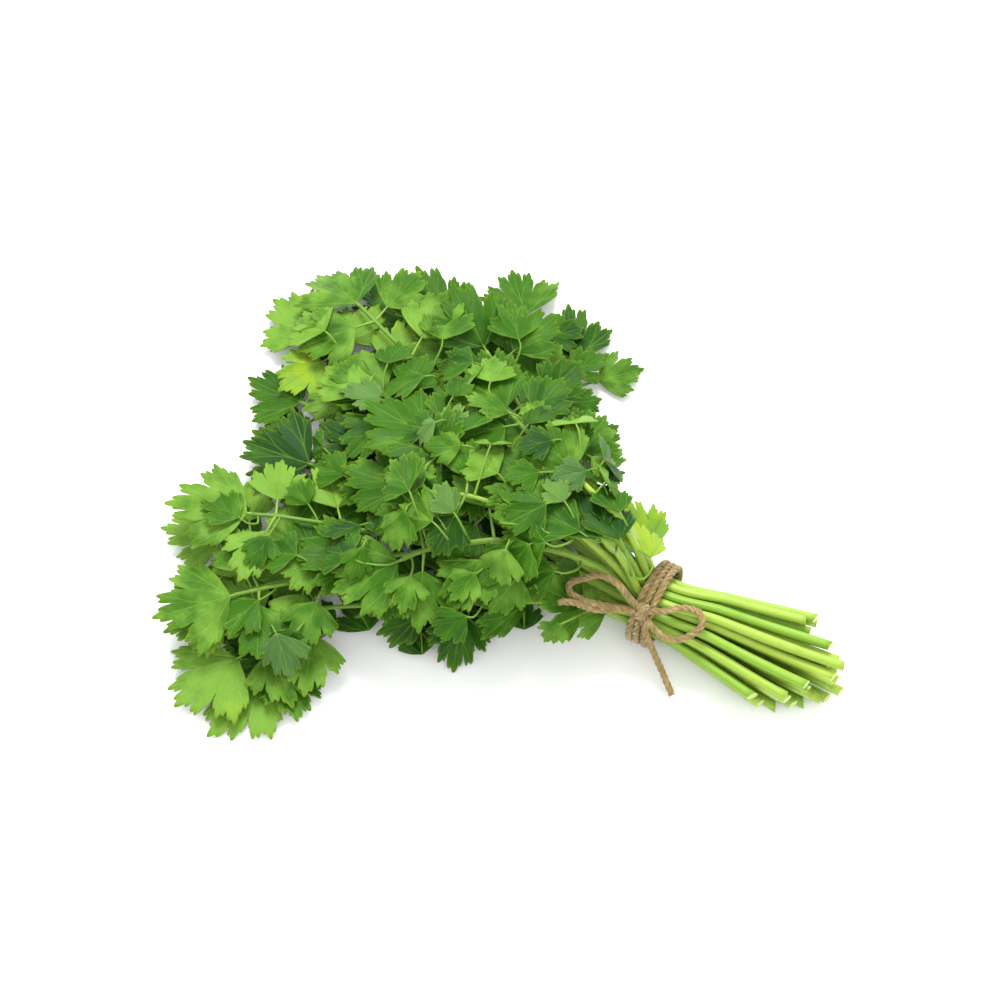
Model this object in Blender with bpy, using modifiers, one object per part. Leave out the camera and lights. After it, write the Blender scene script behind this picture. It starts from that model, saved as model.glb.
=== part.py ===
"""A bunch of coriander, tied with jute twine and lying on a surface.

Metres, +Z up. The origin is on the surface, under the middle of the tie. The stems run along X: their
cut ends point to +X, and the leafy head fans out towards -X. Each leafy stem is one solid, and so is
the twine. The stems are laid row by row, lowest row first, and each stem and each leaflet comes to
rest on what was laid before it, so no two of them cross.
"""

import math
import random

import bmesh
import bpy
import numpy as np
from mathutils import Matrix, Vector

# The tied neck
STEM_ROWS = (3, 5, 6, 7, 6, 5, 3)  # stems in each row, lowest row first
STEM_PITCH = 0.0035  # from stem to stem in the neck, sideways and upwards
TWINE_RADIUS = 0.0013
BAND_RADIUS = 0.0149  # middle of the twine where it goes round the neck
FLAT_DEPTH = 0.0004  # how much the surface flattens the twine that rests on it
NECK_HEIGHT = BAND_RADIUS + TWINE_RADIUS - FLAT_DEPTH
WRAPS = (-0.00268, 0.0, 0.00268)  # where the turns of twine lie along the neck

# Stems
CUT_RADIUS = 0.00185  # at the cut ends
NECK_STEM_RADIUS = 0.0016
LEAF_STEM_RADIUS = 0.0012  # where the first leaflets grow
TIP_RADIUS = 0.0007
STEM_SIDES_RESOLUTION = 1  # six sides
CUT_LENGTH = 0.0745  # from the tie to the furthest cut end
CUT_ENDS = (
    (-0.017, 0.048), (-0.012, 0.058), (-0.004, 0.066), (0.005, 0.0745), (0.011, 0.067), (0.017, 0.055),
)  # the line the cut ends make, seen from above: across the bunch and along it
CUT_SPREAD = 0.004  # how unevenly the stems were cut
CUT_FAN = 1.0  # how much wider the row is at the cut ends, as a share
CUT_LEAN = 2.2  # degrees, of the cut side towards +Y
ROW_LEAN = 2.1  # degrees, from row to row
CUT_PITCH = 0.0040  # from row to row at the cut ends
CUT_STATIONS = (0.30,)  # where a stem bends between its cut end and the tie
FAN_START = 0.0005  # from the tie, where the stems begin to turn
FAN_LENGTH = 0.048  # along which the stems turn from the neck into the fan
BEND_START = 0.45  # share of a stem's reach where its tip starts to turn aside
STIFFNESS = 0.030  # the tightest upward arch of a stem, as a radius
LAYER_HEIGHT = 0.0046  # from row to row in the middle of the head
LAYER_EDGE = 0.0034  # from row to row at the head's rim
HEAD_LENGTH = 0.190
STATION = 0.002  # between the places where a stem's height is worked out
NEAR_STATIONS = (0.0, 0.0055, 0.015, 0.031)  # bends near the tie, the same for every stem
LONGEST_STRETCH = 0.045  # between two bends further out
TIE_HOLDS = 0.0070  # how far on the head side the tie still holds the stems in their rows
ROW_STIFF_LENGTH = 0.040  # along which the stems of a row lie side by side and not on one another

# The head, row by row from the surface up, and from the -Y side to the +Y side of each row:
# the angle of the stem from -X in degrees, how far it reaches in millimetres,
# how its tip turns aside in degrees, and the size of its leaflets in percent
FRONDS = (
    ((-30, 178, -64, 106), (0, 170, 0, 100), (59, 138, 0, 88)),
    ((-28, 180, -46, 104), (-17, 184, 0, 100), (9, 182, 0, 100), (29, 178, 0, 106), (47, 156, 0, 84)),
    ((-29, 102, -2, 100), (-25, 184, -36, 104), (-4, 164, 0, 100), (16, 197, 0, 106), (33, 166, 2, 102),
     (47, 122, 0, 90)),
    ((-31, 69, -4, 108), (-24, 177, -18, 100), (-18, 176, 0, 100), (4, 142, 0, 98), (22, 196, 4, 112),
     (39, 146, 0, 100), (36, 80, 4, 88)),
    ((-50, 46, -20, 90), (-21, 130, -10, 100), (-6, 122, 0, 96), (14, 154, 0, 100), (31, 120, 0, 96),
     (70, 36, 0, 92)),
    ((-24, 122, -60, 120), (-10, 104, 0, 98), (11, 126, 0, 98), (29, 106, 0, 96), (26, 66, 0, 92)),
    ((-14, 59, -6, 104), (6, 69, 4, 100), (24, 65, 0, 94)),
)


# Leaflets
SEED = 7
END_LEAFLET = 0.0265  # length of the leaflet at a stem's tip
SIDE_LEAFLET = 0.0200
END_SPREAD = 66  # degrees from a leaflet's rib to its outer lobe
SIDE_SPREAD = 58
END_TEETH = 4  # teeth on each side of the middle one
SIDE_TEETH = 3
LOBE_TEETH = 3  # teeth to a lobe
SIZE_SPREAD = 0.14
END_STALK = 0.002
STALK = (0.0065, 0.0095)  # length of the stalks of the first and second pair of side leaflets
STALK_WIDTH = 0.0015
BLADE_THICKNESS = 0.0007
PAIR_BACK = (0.0070, 0.0310)  # how far behind the end leaflet's foot each pair of side leaflets grows
PAIR_ANGLE = (80, 68)  # degrees from the stem
FIRST_PAIR_FROM = 0.070  # reach from which a stem has a pair of side leaflets
SECOND_PAIR_FROM = 0.105  # reach from which a stem above the lowest row has a second pair
SHALLOW_NOTCH = 0.80
DEEP_NOTCH = 0.50
OUTER_SHRINK = 0.30
SIDE_TOOTH_SHRINK = 0.10
TILT_STEP = 2  # degrees
STEEPEST = 60
SHAPES_TRIED = 30  # ways of lying that each leaflet tries before it keeps the lowest
CLEARANCE = 0.0011  # between a blade's middle surface and what lies below it
BED_SHARE = 45  # percent of a blade's bed that its foot is raised to
STEM_CLEARANCE = 0.0003

# The map of heights, in square cells over the surface
CELL = 0.001
MAP_LOW = Vector((-0.240, -0.190))
MAP_SIZE = (350, 380)

# The bow
KNOT_ANGLE = math.radians(50)  # up from the side that faces -Y
TWINE_STEPS = 16
TWINE_BEND = 0.008  # the tightest arch of the twine where it lies over something
# The bow's strands through these places, in millimetres: two loops and two tails
BOW_STRANDS = (
    ((-0.5, -11, 29), (-8, -10.8, 32), (-16, -11, 36), (-22, -13, 34), (-26, -16.5, 33), (-24.5, -20, 32),
     (-19, -19, 31), (-11, -15.5, 31), (-0.5, -11.5, 29)),
    ((0.5, -11, 29), (6, -7.5, 28.5), (12.5, -3.5, 28), (18, -2.5, 27), (21, -6, 24.5), (18, -10.5, 21),
     (11, -13, 20.5), (5, -13.2, 23.5), (0.5, -11.5, 28)),
    ((-0.5, -11.5, 29), (-6, -14, 30), (-12, -17, 29.5), (-19, -21, 28), (-26, -26, 26)),
    ((0.5, -12, 28), (3, -14.8, 22), (6, -16.5, 16.5), (12.5, -19.8, 8.5), (19.5, -24, 2)),
)
BOW_STEPS = (13, 13, 6, 6)
KNOT_LUMPS = ((-0.0014, 0.0006, 0.0002), (0.0014, -0.0006, 0.0))
KNOT_RADIUS = 0.0026

LEAF_GREEN = (0.115, 0.300, 0.035, 1.0)
TWINE_TAN = (0.440, 0.270, 0.120, 1.0)


def smooth(t):
    """Rises from 0 to 1 as t does, level at both ends."""
    t = min(max(t, 0.0), 1.0)
    return t * t * (3 - 2 * t)


def mix(a, b, t):
    return a + (b - a) * t


class Pile:
    """How high what has been laid so far reaches, over each cell of the surface."""

    def __init__(self):
        self.top = np.zeros(MAP_SIZE)

    def cells(self, points):
        places = np.asarray(points)[:, :2]
        return np.round((places - np.array(MAP_LOW)) / CELL).astype(int)

    def under(self, points, reach=1):
        """The highest top within reach, in cells, of each point."""
        cells = self.cells(points)
        sides = range(-reach, reach + 1)
        return np.max([self.top[cells[:, 0] + i, cells[:, 1] + j] for i in sides for j in sides], 0)

    def cover(self, points, half_thickness, reach=1):
        cells = self.cells(points)
        heights = np.asarray(points)[:, 2] + half_thickness
        for side in range(-reach, reach + 1):
            for ahead in range(-reach, reach + 1):
                np.maximum.at(self.top, (cells[:, 0] + side, cells[:, 1] + ahead), heights)


class Leaflet:
    """A fan-shaped blade on a short stalk. Blade coordinates are a radius and an angle from its foot."""

    def __init__(self, along, root, heading, stalk, length, spread, teeth, draw):
        self.along, self.root, self.heading, self.stalk = along, np.array(root), heading, stalk
        self.length = length * draw.uniform(1 - SIZE_SPREAD, 1 + SIZE_SPREAD)
        self.spread, self.teeth = math.radians(spread), teeth
        self.phase = draw.uniform(0, 2 * math.pi)
        self.draw = draw
        self.take_shape()

    def take_shape(self):
        """A natural droop, lean and curvature."""
        self.tilt, self.roll = self.draw.uniform(-20, 4), self.draw.uniform(-24, 24)
        self.curl, self.cup = self.draw.uniform(-0.22, 0.10), self.draw.uniform(-0.14, 0.18)
        self.ripple = self.draw.uniform(0.01, 0.05)

    def place(self, flat):
        """World points of flat ones, whose rows are along and across the blade from its foot."""
        along, across = np.asarray(flat, float).T
        u, v = np.maximum(along, 0) / self.length, across / self.length
        radius, angle = np.hypot(u, v), np.arctan2(v, u + 1e-9)
        rise = self.length * (
            self.curl * u**2 + self.cup * v**2 + self.ripple * radius**2 * np.sin(3 * angle + self.phase)
        )
        turn = (
            Matrix.Rotation(self.heading, 3, "Z")
            @ Matrix.Rotation(-math.radians(self.tilt), 3, "Y")
            @ Matrix.Rotation(math.radians(self.roll), 3, "X")
        )
        return self.root + np.stack([along + self.stalk, across, rise], 1) @ np.array(turn).T

    def edge(self):
        """Radius and angle of the points of the toothed edge, from one outer lobe to the other."""
        points = []
        for k in range(-2 * self.teeth, 2 * self.teeth + 1):
            share = k / (2 * self.teeth)
            radius = 1 - OUTER_SHRINK * share**2
            tooth = k // 2
            if k % 2 == 0:
                in_lobe = (tooth + LOBE_TEETH // 2) % LOBE_TEETH
                radius *= 1 if in_lobe == LOBE_TEETH // 2 else 1 - SIDE_TOOTH_SHRINK
            else:
                between = (tooth + LOBE_TEETH // 2) % LOBE_TEETH == LOBE_TEETH - 1
                radius *= DEEP_NOTCH if between else SHALLOW_NOTCH
            points.append((radius * self.length, share * self.spread))
        return points

    def samples(self, shares):
        return [
            (share * radius * math.cos(angle), share * radius * math.sin(angle))
            for share in shares
            for radius, angle in self.edge()
        ]

    def bed(self, pile, near):
        """How high the foot should be for the blade to lie nearly flat on what is below it."""
        points = self.place(self.samples((0.45, 0.7, 0.95)))
        below = np.maximum(pile.under(points), near.under(points))
        return np.percentile(below, BED_SHARE) + CLEARANCE

    def clears(self, points, pile, near):
        return (points[:, 2] >= np.maximum(pile.under(points), near.under(points)) + CLEARANCE).all()

    def settle(self, pile, near):
        """Raises the blade from its natural droop until it clears what lies below, the way it lies lowest."""
        flat, found = self.samples((0.35, 0.6, 0.8, 1.0)), []
        for _ in range(SHAPES_TRIED):
            self.take_shape()
            points = self.place(flat)
            while self.tilt < STEEPEST and not self.clears(points, pile, near):
                self.tilt += TILT_STEP
                points = self.place(flat)
            found.append((points[:, 2].max(), self.tilt, self.roll, self.curl, self.cup, self.ripple))
        _, self.tilt, self.roll, self.curl, self.cup, self.ripple = min(found)
        stalk = [(-share * self.stalk, 0.0) for share in (0.2, 0.4, 0.6, 0.8)]
        pile.cover(self.place(self.samples(np.linspace(0.04, 1.0, 16)) + stalk), BLADE_THICKNESS / 2)


class Stem:
    """The line of a stem from its cut end to its tip, with its leaflets."""

    def __init__(self, row, place, number):
        self.row, self.number = row, number
        self.draw = random.Random(SEED * 1000 + number)
        self.across = place - (STEM_ROWS[row] - 1) / 2
        self.up = row - (len(STEM_ROWS) - 1) / 2
        angle, reach, bend, size = FRONDS[row][place]
        self.fan = math.radians(angle + self.draw.uniform(-2, 2))
        self.bend = math.radians(bend + self.draw.uniform(-6, 6))
        self.reach, self.size = reach / 1000, size / 100
        self.foot = self.reach - END_LEAFLET * self.size  # where the end leaflet grows, along the stem
        pairs = int(self.reach > FIRST_PAIR_FROM) + int(row > 0 and self.reach > SECOND_PAIR_FROM)
        self.pairs = [self.foot - PAIR_BACK[k] - self.draw.uniform(0, 0.003) for k in range(pairs)]
        self.lean = math.radians(CUT_LEAN + self.up * ROW_LEAN + self.draw.uniform(-0.6, 0.6))
        end = self.across * STEM_PITCH * (1 + CUT_FAN) + math.tan(self.lean) * CUT_LENGTH
        self.cut = np.interp(end, *zip(*CUT_ENDS)) - self.draw.uniform(0, CUT_SPREAD)

    def radius(self, distance):
        """Radius at a distance along the stem from the tie, less than 0 on the cut side."""
        if distance < 0:
            return mix(NECK_STEM_RADIUS, CUT_RADIUS, -distance / CUT_LENGTH)
        if distance < 0.5 * self.reach:
            return mix(NECK_STEM_RADIUS, LEAF_STEM_RADIUS, distance / (0.5 * self.reach))
        return mix(LEAF_STEM_RADIUS, TIP_RADIUS, distance / (0.5 * self.reach) - 1)

    def cut_point(self, distance):
        """Where the stem is at a distance from the tie on the cut side."""
        share = distance / CUT_LENGTH
        y = self.across * STEM_PITCH * (1 + CUT_FAN * smooth(share))
        lean = math.tan(self.lean) * distance * smooth(share * 3)
        low = mix(NECK_HEIGHT, 3 * CUT_PITCH + CUT_RADIUS + 0.0003, smooth(share * 1.5))
        z = low + self.up * mix(STEM_PITCH, CUT_PITCH, smooth(share * 3))
        return Vector((distance, y + lean, z))

    def rest_height(self, distance, off_axis):
        """The height at which the row would run if nothing lay in its way."""
        out = distance / HEAD_LENGTH
        fullness = smooth(out / 0.35) * (1 - smooth((out - 0.5) / 0.6)) * math.cos(min(off_axis, 1.2))
        layer = mix(LAYER_EDGE, LAYER_HEIGHT, fullness)
        low = LEAF_STEM_RADIUS + 0.0022 + self.row * layer
        return mix(NECK_HEIGHT + self.up * STEM_PITCH, low, smooth((distance - 0.004) / 0.060))

    def lay(self, pile, near):
        """Lays the head side on the pile. near holds this row's stems where they lie side by side."""
        self.draw_plan()
        self.choose_leaflets()
        radii = np.array([self.radius(d) for d in self.along])
        need = np.maximum(self.line[:, 2], pile.under(self.line, 2) + radii + STEM_CLEARANCE)
        for leaflet in self.leaflets:
            station = np.abs(self.along - leaflet.along).argmin()
            need[station] = max(need[station], leaflet.bed(pile, near))
        apart = self.along[None, :] - self.along[:, None]
        arched = (need[None, :] - apart**2 / (2 * STIFFNESS)).max(1)
        free = np.array([smooth((d - 0.005) / 0.011) for d in self.along])
        least = self.line[:, 2] + (arched - self.line[:, 2]) * free
        heights = np.interp(self.stations, self.along, least)
        for _ in range(6):
            short = (least - np.interp(self.along, self.stations, heights)) * (free > 0.02)
            for k in range(len(heights) - 1):
                within = (self.along >= self.stations[k]) & (self.along <= self.stations[k + 1])
                lift = max(short[within].max(), 0)
                heights[k:k + 2] += lift * (np.array(self.stations[k:k + 2]) > TIE_HOLDS)
        self.line[:, 2] = np.interp(self.along, self.stations, heights)
        for leaflet in self.leaflets:
            leaflet.root[2] = self.at(leaflet.along)[0][2]
            leaflet.settle(pile, near)
        pile.cover(self.wide(self.along > ROW_STIFF_LENGTH), 0.0)
        near.cover(self.wide(self.along <= ROW_STIFF_LENGTH), 0.0)

    def draw_plan(self):
        """The stem's line as seen from above, at the heights it would have alone."""
        count = int(self.foot / STATION)
        x, y = 0.0, self.across * STEM_PITCH
        curve = []
        fan_length = min(FAN_LENGTH, self.foot)
        self.along = np.linspace(0, self.foot, count + 1)
        for distance in self.along:
            curve.append((x, y, self.rest_height(distance, abs(math.atan2(y, 1e-6 - x)))))
            heading = self.fan * smooth((distance - FAN_START) / fan_length)
            heading += self.bend * smooth((distance / self.reach - BEND_START) / (1 - BEND_START))
            x -= math.cos(heading) * self.foot / count
            y += math.sin(heading) * self.foot / count
        self.stations = [d for d in NEAR_STATIONS if d < min([self.foot, *self.pairs]) - 0.003]
        for distance in sorted([*self.pairs, self.foot]):
            stretches = math.ceil((distance - self.stations[-1]) / LONGEST_STRETCH)
            self.stations += list(np.linspace(self.stations[-1], distance, stretches + 1)[1:])
        bends = [[np.interp(d, self.along, axis) for d in self.stations] for axis in zip(*curve)]
        self.line = np.array([np.interp(self.along, self.stations, axis) for axis in bends]).T

    def wide(self, chosen):
        """Points over the whole width of the stem, at its upper side."""
        found = []
        for (x, y, z), distance in zip(self.line[chosen], self.along[chosen]):
            radius = self.radius(distance)
            for side in (-0.8, 0.0, 0.8):
                found.append((x, y + side * radius, z + radius))
                found.append((x + side * radius, y, z + radius))
        return np.array(found).reshape(-1, 3)

    def at(self, distance):
        """Place and plan heading of the stem at a distance from the tie."""
        place = np.array([np.interp(distance, self.along, self.line[:, k]) for k in range(3)])
        back = np.array([np.interp(distance - 0.004, self.along, self.line[:, k]) for k in range(3)])
        ahead = place - back
        return place, math.atan2(ahead[1], ahead[0])

    def choose_leaflets(self):
        place, heading = self.at(self.foot)
        self.leaflets = [
            Leaflet(
                self.foot, place, heading, END_STALK,
                END_LEAFLET * self.size, END_SPREAD, END_TEETH, self.draw,
            )
        ]
        for along, angle, length in zip(self.pairs, PAIR_ANGLE, STALK):
            place, heading = self.at(along)
            for side in (-1, 1):
                turn = side * math.radians(angle + self.draw.uniform(-8, 8))
                stalk = length * self.draw.uniform(0.85, 1.3)
                blade_length = SIDE_LEAFLET * self.size
                self.leaflets.append(Leaflet(
                    along, place, heading + turn, stalk, blade_length, SIDE_SPREAD, SIDE_TEETH, self.draw
                ))

    def route(self):
        """Points and radii of the whole stem, from its cut end to its tip."""
        cut_side = [self.cut] + [share * CUT_LENGTH for share in CUT_STATIONS]
        points = [(self.cut_point(d), self.radius(-d)) for d in cut_side]
        for distance in self.stations:
            place, _ = self.at(distance)
            points.append((Vector(place), self.radius(distance)))
        return points


def lay_bunch():
    """All the stems with their leaflets, and the pile that they make."""
    pile, stems = Pile(), []
    for row, count in enumerate(STEM_ROWS):
        near = Pile()
        in_row = [Stem(row, place, len(stems) + place + 1) for place in range(count)]
        for stem in sorted(in_row, key=lambda s: -s.reach):
            stem.lay(pile, near)
        for stem in in_row:
            distances = np.linspace(0, stem.cut, 40)
            near.cover([stem.cut_point(d) + Vector((0, 0, stem.radius(-d))) for d in distances], 0.0)
        pile.top = np.maximum(pile.top, near.top)
        stems += in_row
    return stems, pile


def collection_named(name):
    found = bpy.data.collections.new(name)
    bpy.context.scene.collection.children.link(found)
    return found


def finish(name, base_color, roughness):
    material = bpy.data.materials.new(name)
    material.use_nodes = True
    shader = material.node_tree.nodes["Principled BSDF"]
    shader.inputs["Base Color"].default_value = base_color
    shader.inputs["Roughness"].default_value = roughness
    shader.inputs["Metallic"].default_value = 0.0
    return material


def mesh_of(obj, keep_in):
    """Turns a curve or a modified mesh into a plain mesh object with welded caps."""
    graph = bpy.context.evaluated_depsgraph_get()
    mesh = bpy.data.meshes.new_from_object(obj.evaluated_get(graph))
    made = bpy.data.objects.new(obj.name + "_mesh", mesh)
    made.matrix_world = obj.matrix_world
    keep_in.objects.link(made)
    bpy.data.objects.remove(obj)
    shell = bmesh.new()
    shell.from_mesh(mesh)
    bmesh.ops.remove_doubles(shell, verts=shell.verts, dist=0.00001)
    bmesh.ops.recalc_face_normals(shell, faces=shell.faces)
    shell.to_mesh(mesh)
    shell.free()
    return made


def tube(name, points, keep_in, closed=False):
    """A round tube through points, each a place and a radius."""
    curve = bpy.data.curves.new(name, "CURVE")
    curve.dimensions = "3D"
    curve.bevel_depth = 1.0
    curve.bevel_resolution = STEM_SIDES_RESOLUTION
    curve.use_fill_caps = not closed
    line = curve.splines.new("POLY")
    line.points.add(len(points) - 1)
    for point, (place, radius) in zip(line.points, points):
        point.co = (*place, 1.0)
        point.radius = radius
    line.use_cyclic_u = closed
    obj = bpy.data.objects.new(name, curve)
    keep_in.objects.link(obj)
    bpy.context.view_layer.update()
    return mesh_of(obj, keep_in)


def blade(name, leaflet, keep_in):
    """A leaflet's toothed blade and its stalk as one thin sheet, split alike on both faces."""
    half = STALK_WIDTH / 2
    foot = [(0.0, -half), (0.0, half)]
    edge = [(radius * math.cos(angle), radius * math.sin(angle)) for radius, angle in leaflet.edge()]
    root = [(-leaflet.stalk, -half), (-leaflet.stalk, half)]
    sheet = bmesh.new()
    verts = [sheet.verts.new(place) for place in leaflet.place(foot + edge + root)]
    right, left, *rim, root_right, root_left = verts
    middle = len(rim) // 2
    for k in range(len(rim) - 1):
        sheet.faces.new((right if k < middle else left, rim[k], rim[k + 1]))
    sheet.faces.new((right, rim[middle], left))
    sheet.faces.new((root_right, right, left))
    sheet.faces.new((root_right, left, root_left))
    mesh = bpy.data.meshes.new(name)
    sheet.to_mesh(mesh)
    sheet.free()
    obj = bpy.data.objects.new(name, mesh)
    keep_in.objects.link(obj)
    shell = obj.modifiers.new("thickness", "SOLIDIFY")
    shell.thickness = BLADE_THICKNESS
    shell.offset = 0
    bpy.context.view_layer.update()
    return mesh_of(obj, keep_in)


def join(first, others):
    """One Boolean union of first with all that is in a collection, applied."""
    union = first.modifiers.new("joined", "BOOLEAN")
    union.operation = "UNION"
    union.operand_type = "COLLECTION"
    union.collection = others
    union.solver = "MANIFOLD"
    apply_modifiers(first)
    for obj in list(others.objects):
        bpy.data.objects.remove(obj)
    bpy.data.collections.remove(others)


def apply_modifiers(obj):
    """Makes the modifiers' result the object's own mesh, without loose scraps."""
    bpy.context.view_layer.update()
    graph = bpy.context.evaluated_depsgraph_get()
    mesh = bpy.data.meshes.new_from_object(obj.evaluated_get(graph))
    obj.modifiers.clear()
    obj.data = mesh
    shell = bmesh.new()
    shell.from_mesh(mesh)
    left, pieces = set(shell.verts), []
    while left:
        piece, edge = set(), {left.pop()}
        while edge:
            piece |= edge
            edge = {e.other_vert(v) for v in edge for e in v.link_edges} - piece
        left -= piece
        pieces.append(piece)
    largest = max(pieces, key=len)
    scraps = [v for piece in pieces if len(piece) < len(largest) / 10 for v in piece]
    bmesh.ops.delete(shell, geom=scraps, context="VERTS")
    shell.to_mesh(mesh)
    shell.free()


def flatten(obj, cutters):
    """Cuts off what would reach below the surface."""
    bpy.ops.mesh.primitive_cube_add(size=1.0)
    ground = bpy.context.object
    ground.name = obj.name + "_ground"
    ground.data.transform(Matrix.Diagonal((0.6, 0.6, 0.02, 1.0)))
    ground.data.transform(Matrix.Translation((-0.05, 0, -0.01)))
    for holder in ground.users_collection:
        holder.objects.unlink(ground)
    cutters.objects.link(ground)
    ground.hide_render = True
    ground.display_type = "WIRE"
    cut = obj.modifiers.new("resting_flat", "BOOLEAN")
    cut.operation = "DIFFERENCE"
    cut.object = ground
    cut.solver = "MANIFOLD"
    apply_modifiers(obj)


def leafy_stem(stem, parts, material):
    name = f"leafy_stem_{stem.number:02d}"
    body = tube(name, stem.route(), parts)
    body.name = name
    growth = collection_named(name + "_growth")
    for k, leaflet in enumerate(stem.leaflets):
        blade(f"{name}_leaflet_{k}", leaflet, growth)
    join(body, growth)
    body.data.materials.clear()
    body.data.materials.append(material)
    return body


def curve_through(points, count):
    """A smooth line through hand-chosen points."""
    knots = [2 * points[0] - points[1], *points, 2 * points[-1] - points[-2]]
    line = []
    for k in range(count + 1):
        t = k / count * (len(points) - 1)
        i = min(int(t), len(points) - 2)
        t -= i
        a, b, c, d = knots[i:i + 4]
        line.append(
            0.5 * (2 * b + (c - a) * t + (2 * a - 5 * b + 4 * c - d) * t**2 + (3 * b - a - 3 * c + d) * t**3)
        )
    return line


def knot_place():
    outer = BAND_RADIUS + 2 * TWINE_RADIUS
    return Vector((0, -outer * math.cos(KNOT_ANGLE), NECK_HEIGHT + outer * math.sin(KNOT_ANGLE)))


def bow_line(places, pile, count):
    """A strand of the bow: it leaves the knot and lies on the stems and leaves."""
    knot = knot_place()
    line = np.array(curve_through([Vector(place) / 1000 for place in places], count))
    steps = np.linalg.norm(np.diff(line, axis=0), axis=1)
    along = np.concatenate([[0], np.cumsum(steps)])
    need = np.maximum(line[:, 2], pile.under(line, 1) + TWINE_RADIUS + STEM_CLEARANCE)
    arched = (need[None, :] - (along[None, :] - along[:, None])**2 / (2 * TWINE_BEND)).max(1)
    free = [smooth(((Vector(p) - knot).length - 0.0025) / 0.004) for p in line]
    line[:, 2] += (arched - line[:, 2]) * free
    return [Vector(p) for p in line]


def twine_tie(pile, parts, cutters, material):
    """Three turns round the neck, the knot, and the bow's two loops and two tails."""
    strands = collection_named("twine_strands")
    turns = []
    radius = BAND_RADIUS / math.cos(math.pi / TWINE_STEPS)  # the straight pieces touch the true circle
    for k, x in enumerate(WRAPS):
        ring = [
            Vector((x, radius * math.sin(a), NECK_HEIGHT - radius * math.cos(a)))
            for a in (2 * math.pi * (step + 0.5) / TWINE_STEPS for step in range(TWINE_STEPS))
        ]
        turns.append(tube(f"turn_{k}", [(p, TWINE_RADIUS) for p in ring], strands, closed=True))
    for k, (places, count) in enumerate(zip(BOW_STRANDS, BOW_STEPS)):
        tube(f"strand_{k}", [(p, TWINE_RADIUS) for p in bow_line(places, pile, count)], strands)
    for k, offset in enumerate(KNOT_LUMPS):
        bpy.ops.mesh.primitive_uv_sphere_add(segments=8, ring_count=6, radius=KNOT_RADIUS)
        lump = bpy.context.object
        lump.data.transform(Matrix.Translation(knot_place() + Vector(offset)))
        for holder in lump.users_collection:
            holder.objects.unlink(lump)
        strands.objects.link(lump)
    body = turns[1]
    strands.objects.unlink(body)
    parts.objects.link(body)
    body.name = "twine_tie"
    join(body, strands)
    flatten(body, cutters)
    body.data.materials.clear()
    body.data.materials.append(material)
    return body


def main():
    for obj in list(bpy.data.objects):
        bpy.data.objects.remove(obj)
    parts = collection_named("coriander_bunch")
    cutters = collection_named("cutters")
    green = finish("coriander_green", LEAF_GREEN, 0.45)
    tan = finish("jute_twine", TWINE_TAN, 0.9)
    stems, pile = lay_bunch()
    for stem in stems:
        leafy_stem(stem, parts, green)
    twine_tie(pile, parts, cutters, tan)


main()
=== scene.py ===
"""The coriander bunch in its fine form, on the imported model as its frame.

The lines of the stems, leaflets and twine are laid as in the part's source, with the same values and
draws. Each leafy stem is then dressed with a ribbed stem, toothed leaflets and their little stalks,
and the tie with three-ply jute. Small leaflets that grow from the same stems fill the head.
"""

import math
import random

import bmesh
import bpy
import numpy as np
from mathutils import Matrix, Vector


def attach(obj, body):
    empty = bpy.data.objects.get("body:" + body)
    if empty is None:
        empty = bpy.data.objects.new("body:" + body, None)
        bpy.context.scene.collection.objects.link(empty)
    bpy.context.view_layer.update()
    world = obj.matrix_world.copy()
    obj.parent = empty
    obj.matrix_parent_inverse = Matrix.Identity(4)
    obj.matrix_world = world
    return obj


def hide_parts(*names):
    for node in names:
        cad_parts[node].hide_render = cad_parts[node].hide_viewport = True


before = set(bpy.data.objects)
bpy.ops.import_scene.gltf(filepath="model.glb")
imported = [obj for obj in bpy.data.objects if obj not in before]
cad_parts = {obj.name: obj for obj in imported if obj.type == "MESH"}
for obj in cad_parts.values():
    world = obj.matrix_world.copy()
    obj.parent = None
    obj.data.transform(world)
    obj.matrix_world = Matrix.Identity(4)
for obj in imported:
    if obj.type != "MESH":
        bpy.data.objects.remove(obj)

# The tied neck
STEM_ROWS = (3, 5, 6, 7, 6, 5, 3)  # stems in each row, lowest row first
STEM_PITCH = 0.0035  # from stem to stem in the neck, sideways and upwards
TWINE_RADIUS = 0.0013
BAND_RADIUS = 0.0149  # middle of the twine where it goes round the neck
FLAT_DEPTH = 0.0004  # how much the surface flattens the twine that rests on it
NECK_HEIGHT = BAND_RADIUS + TWINE_RADIUS - FLAT_DEPTH
WRAPS = (-0.00268, 0.0, 0.00268)  # where the turns of twine lie along the neck

# Stems
CUT_RADIUS = 0.00185  # at the cut ends
NECK_STEM_RADIUS = 0.0016
LEAF_STEM_RADIUS = 0.0012  # where the first leaflets grow
TIP_RADIUS = 0.0007
CUT_LENGTH = 0.0745  # from the tie to the furthest cut end
CUT_ENDS = (
    (-0.017, 0.048), (-0.012, 0.058), (-0.004, 0.066), (0.005, 0.0745), (0.011, 0.067), (0.017, 0.055),
)  # the line the cut ends make, seen from above: across the bunch and along it
CUT_SPREAD = 0.004  # how unevenly the stems were cut
CUT_FAN = 1.0  # how much wider the row is at the cut ends, as a share
CUT_LEAN = 2.2  # degrees, of the cut side towards +Y
ROW_LEAN = 2.1  # degrees, from row to row
CUT_PITCH = 0.0040  # from row to row at the cut ends
FAN_START = 0.0005  # from the tie, where the stems begin to turn
FAN_LENGTH = 0.048  # along which the stems turn from the neck into the fan
BEND_START = 0.45  # share of a stem's reach where its tip starts to turn aside
STIFFNESS = 0.030  # the tightest upward arch of a stem, as a radius
LAYER_HEIGHT = 0.0046  # from row to row in the middle of the head
LAYER_EDGE = 0.0034  # from row to row at the head's rim
HEAD_LENGTH = 0.190
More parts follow.
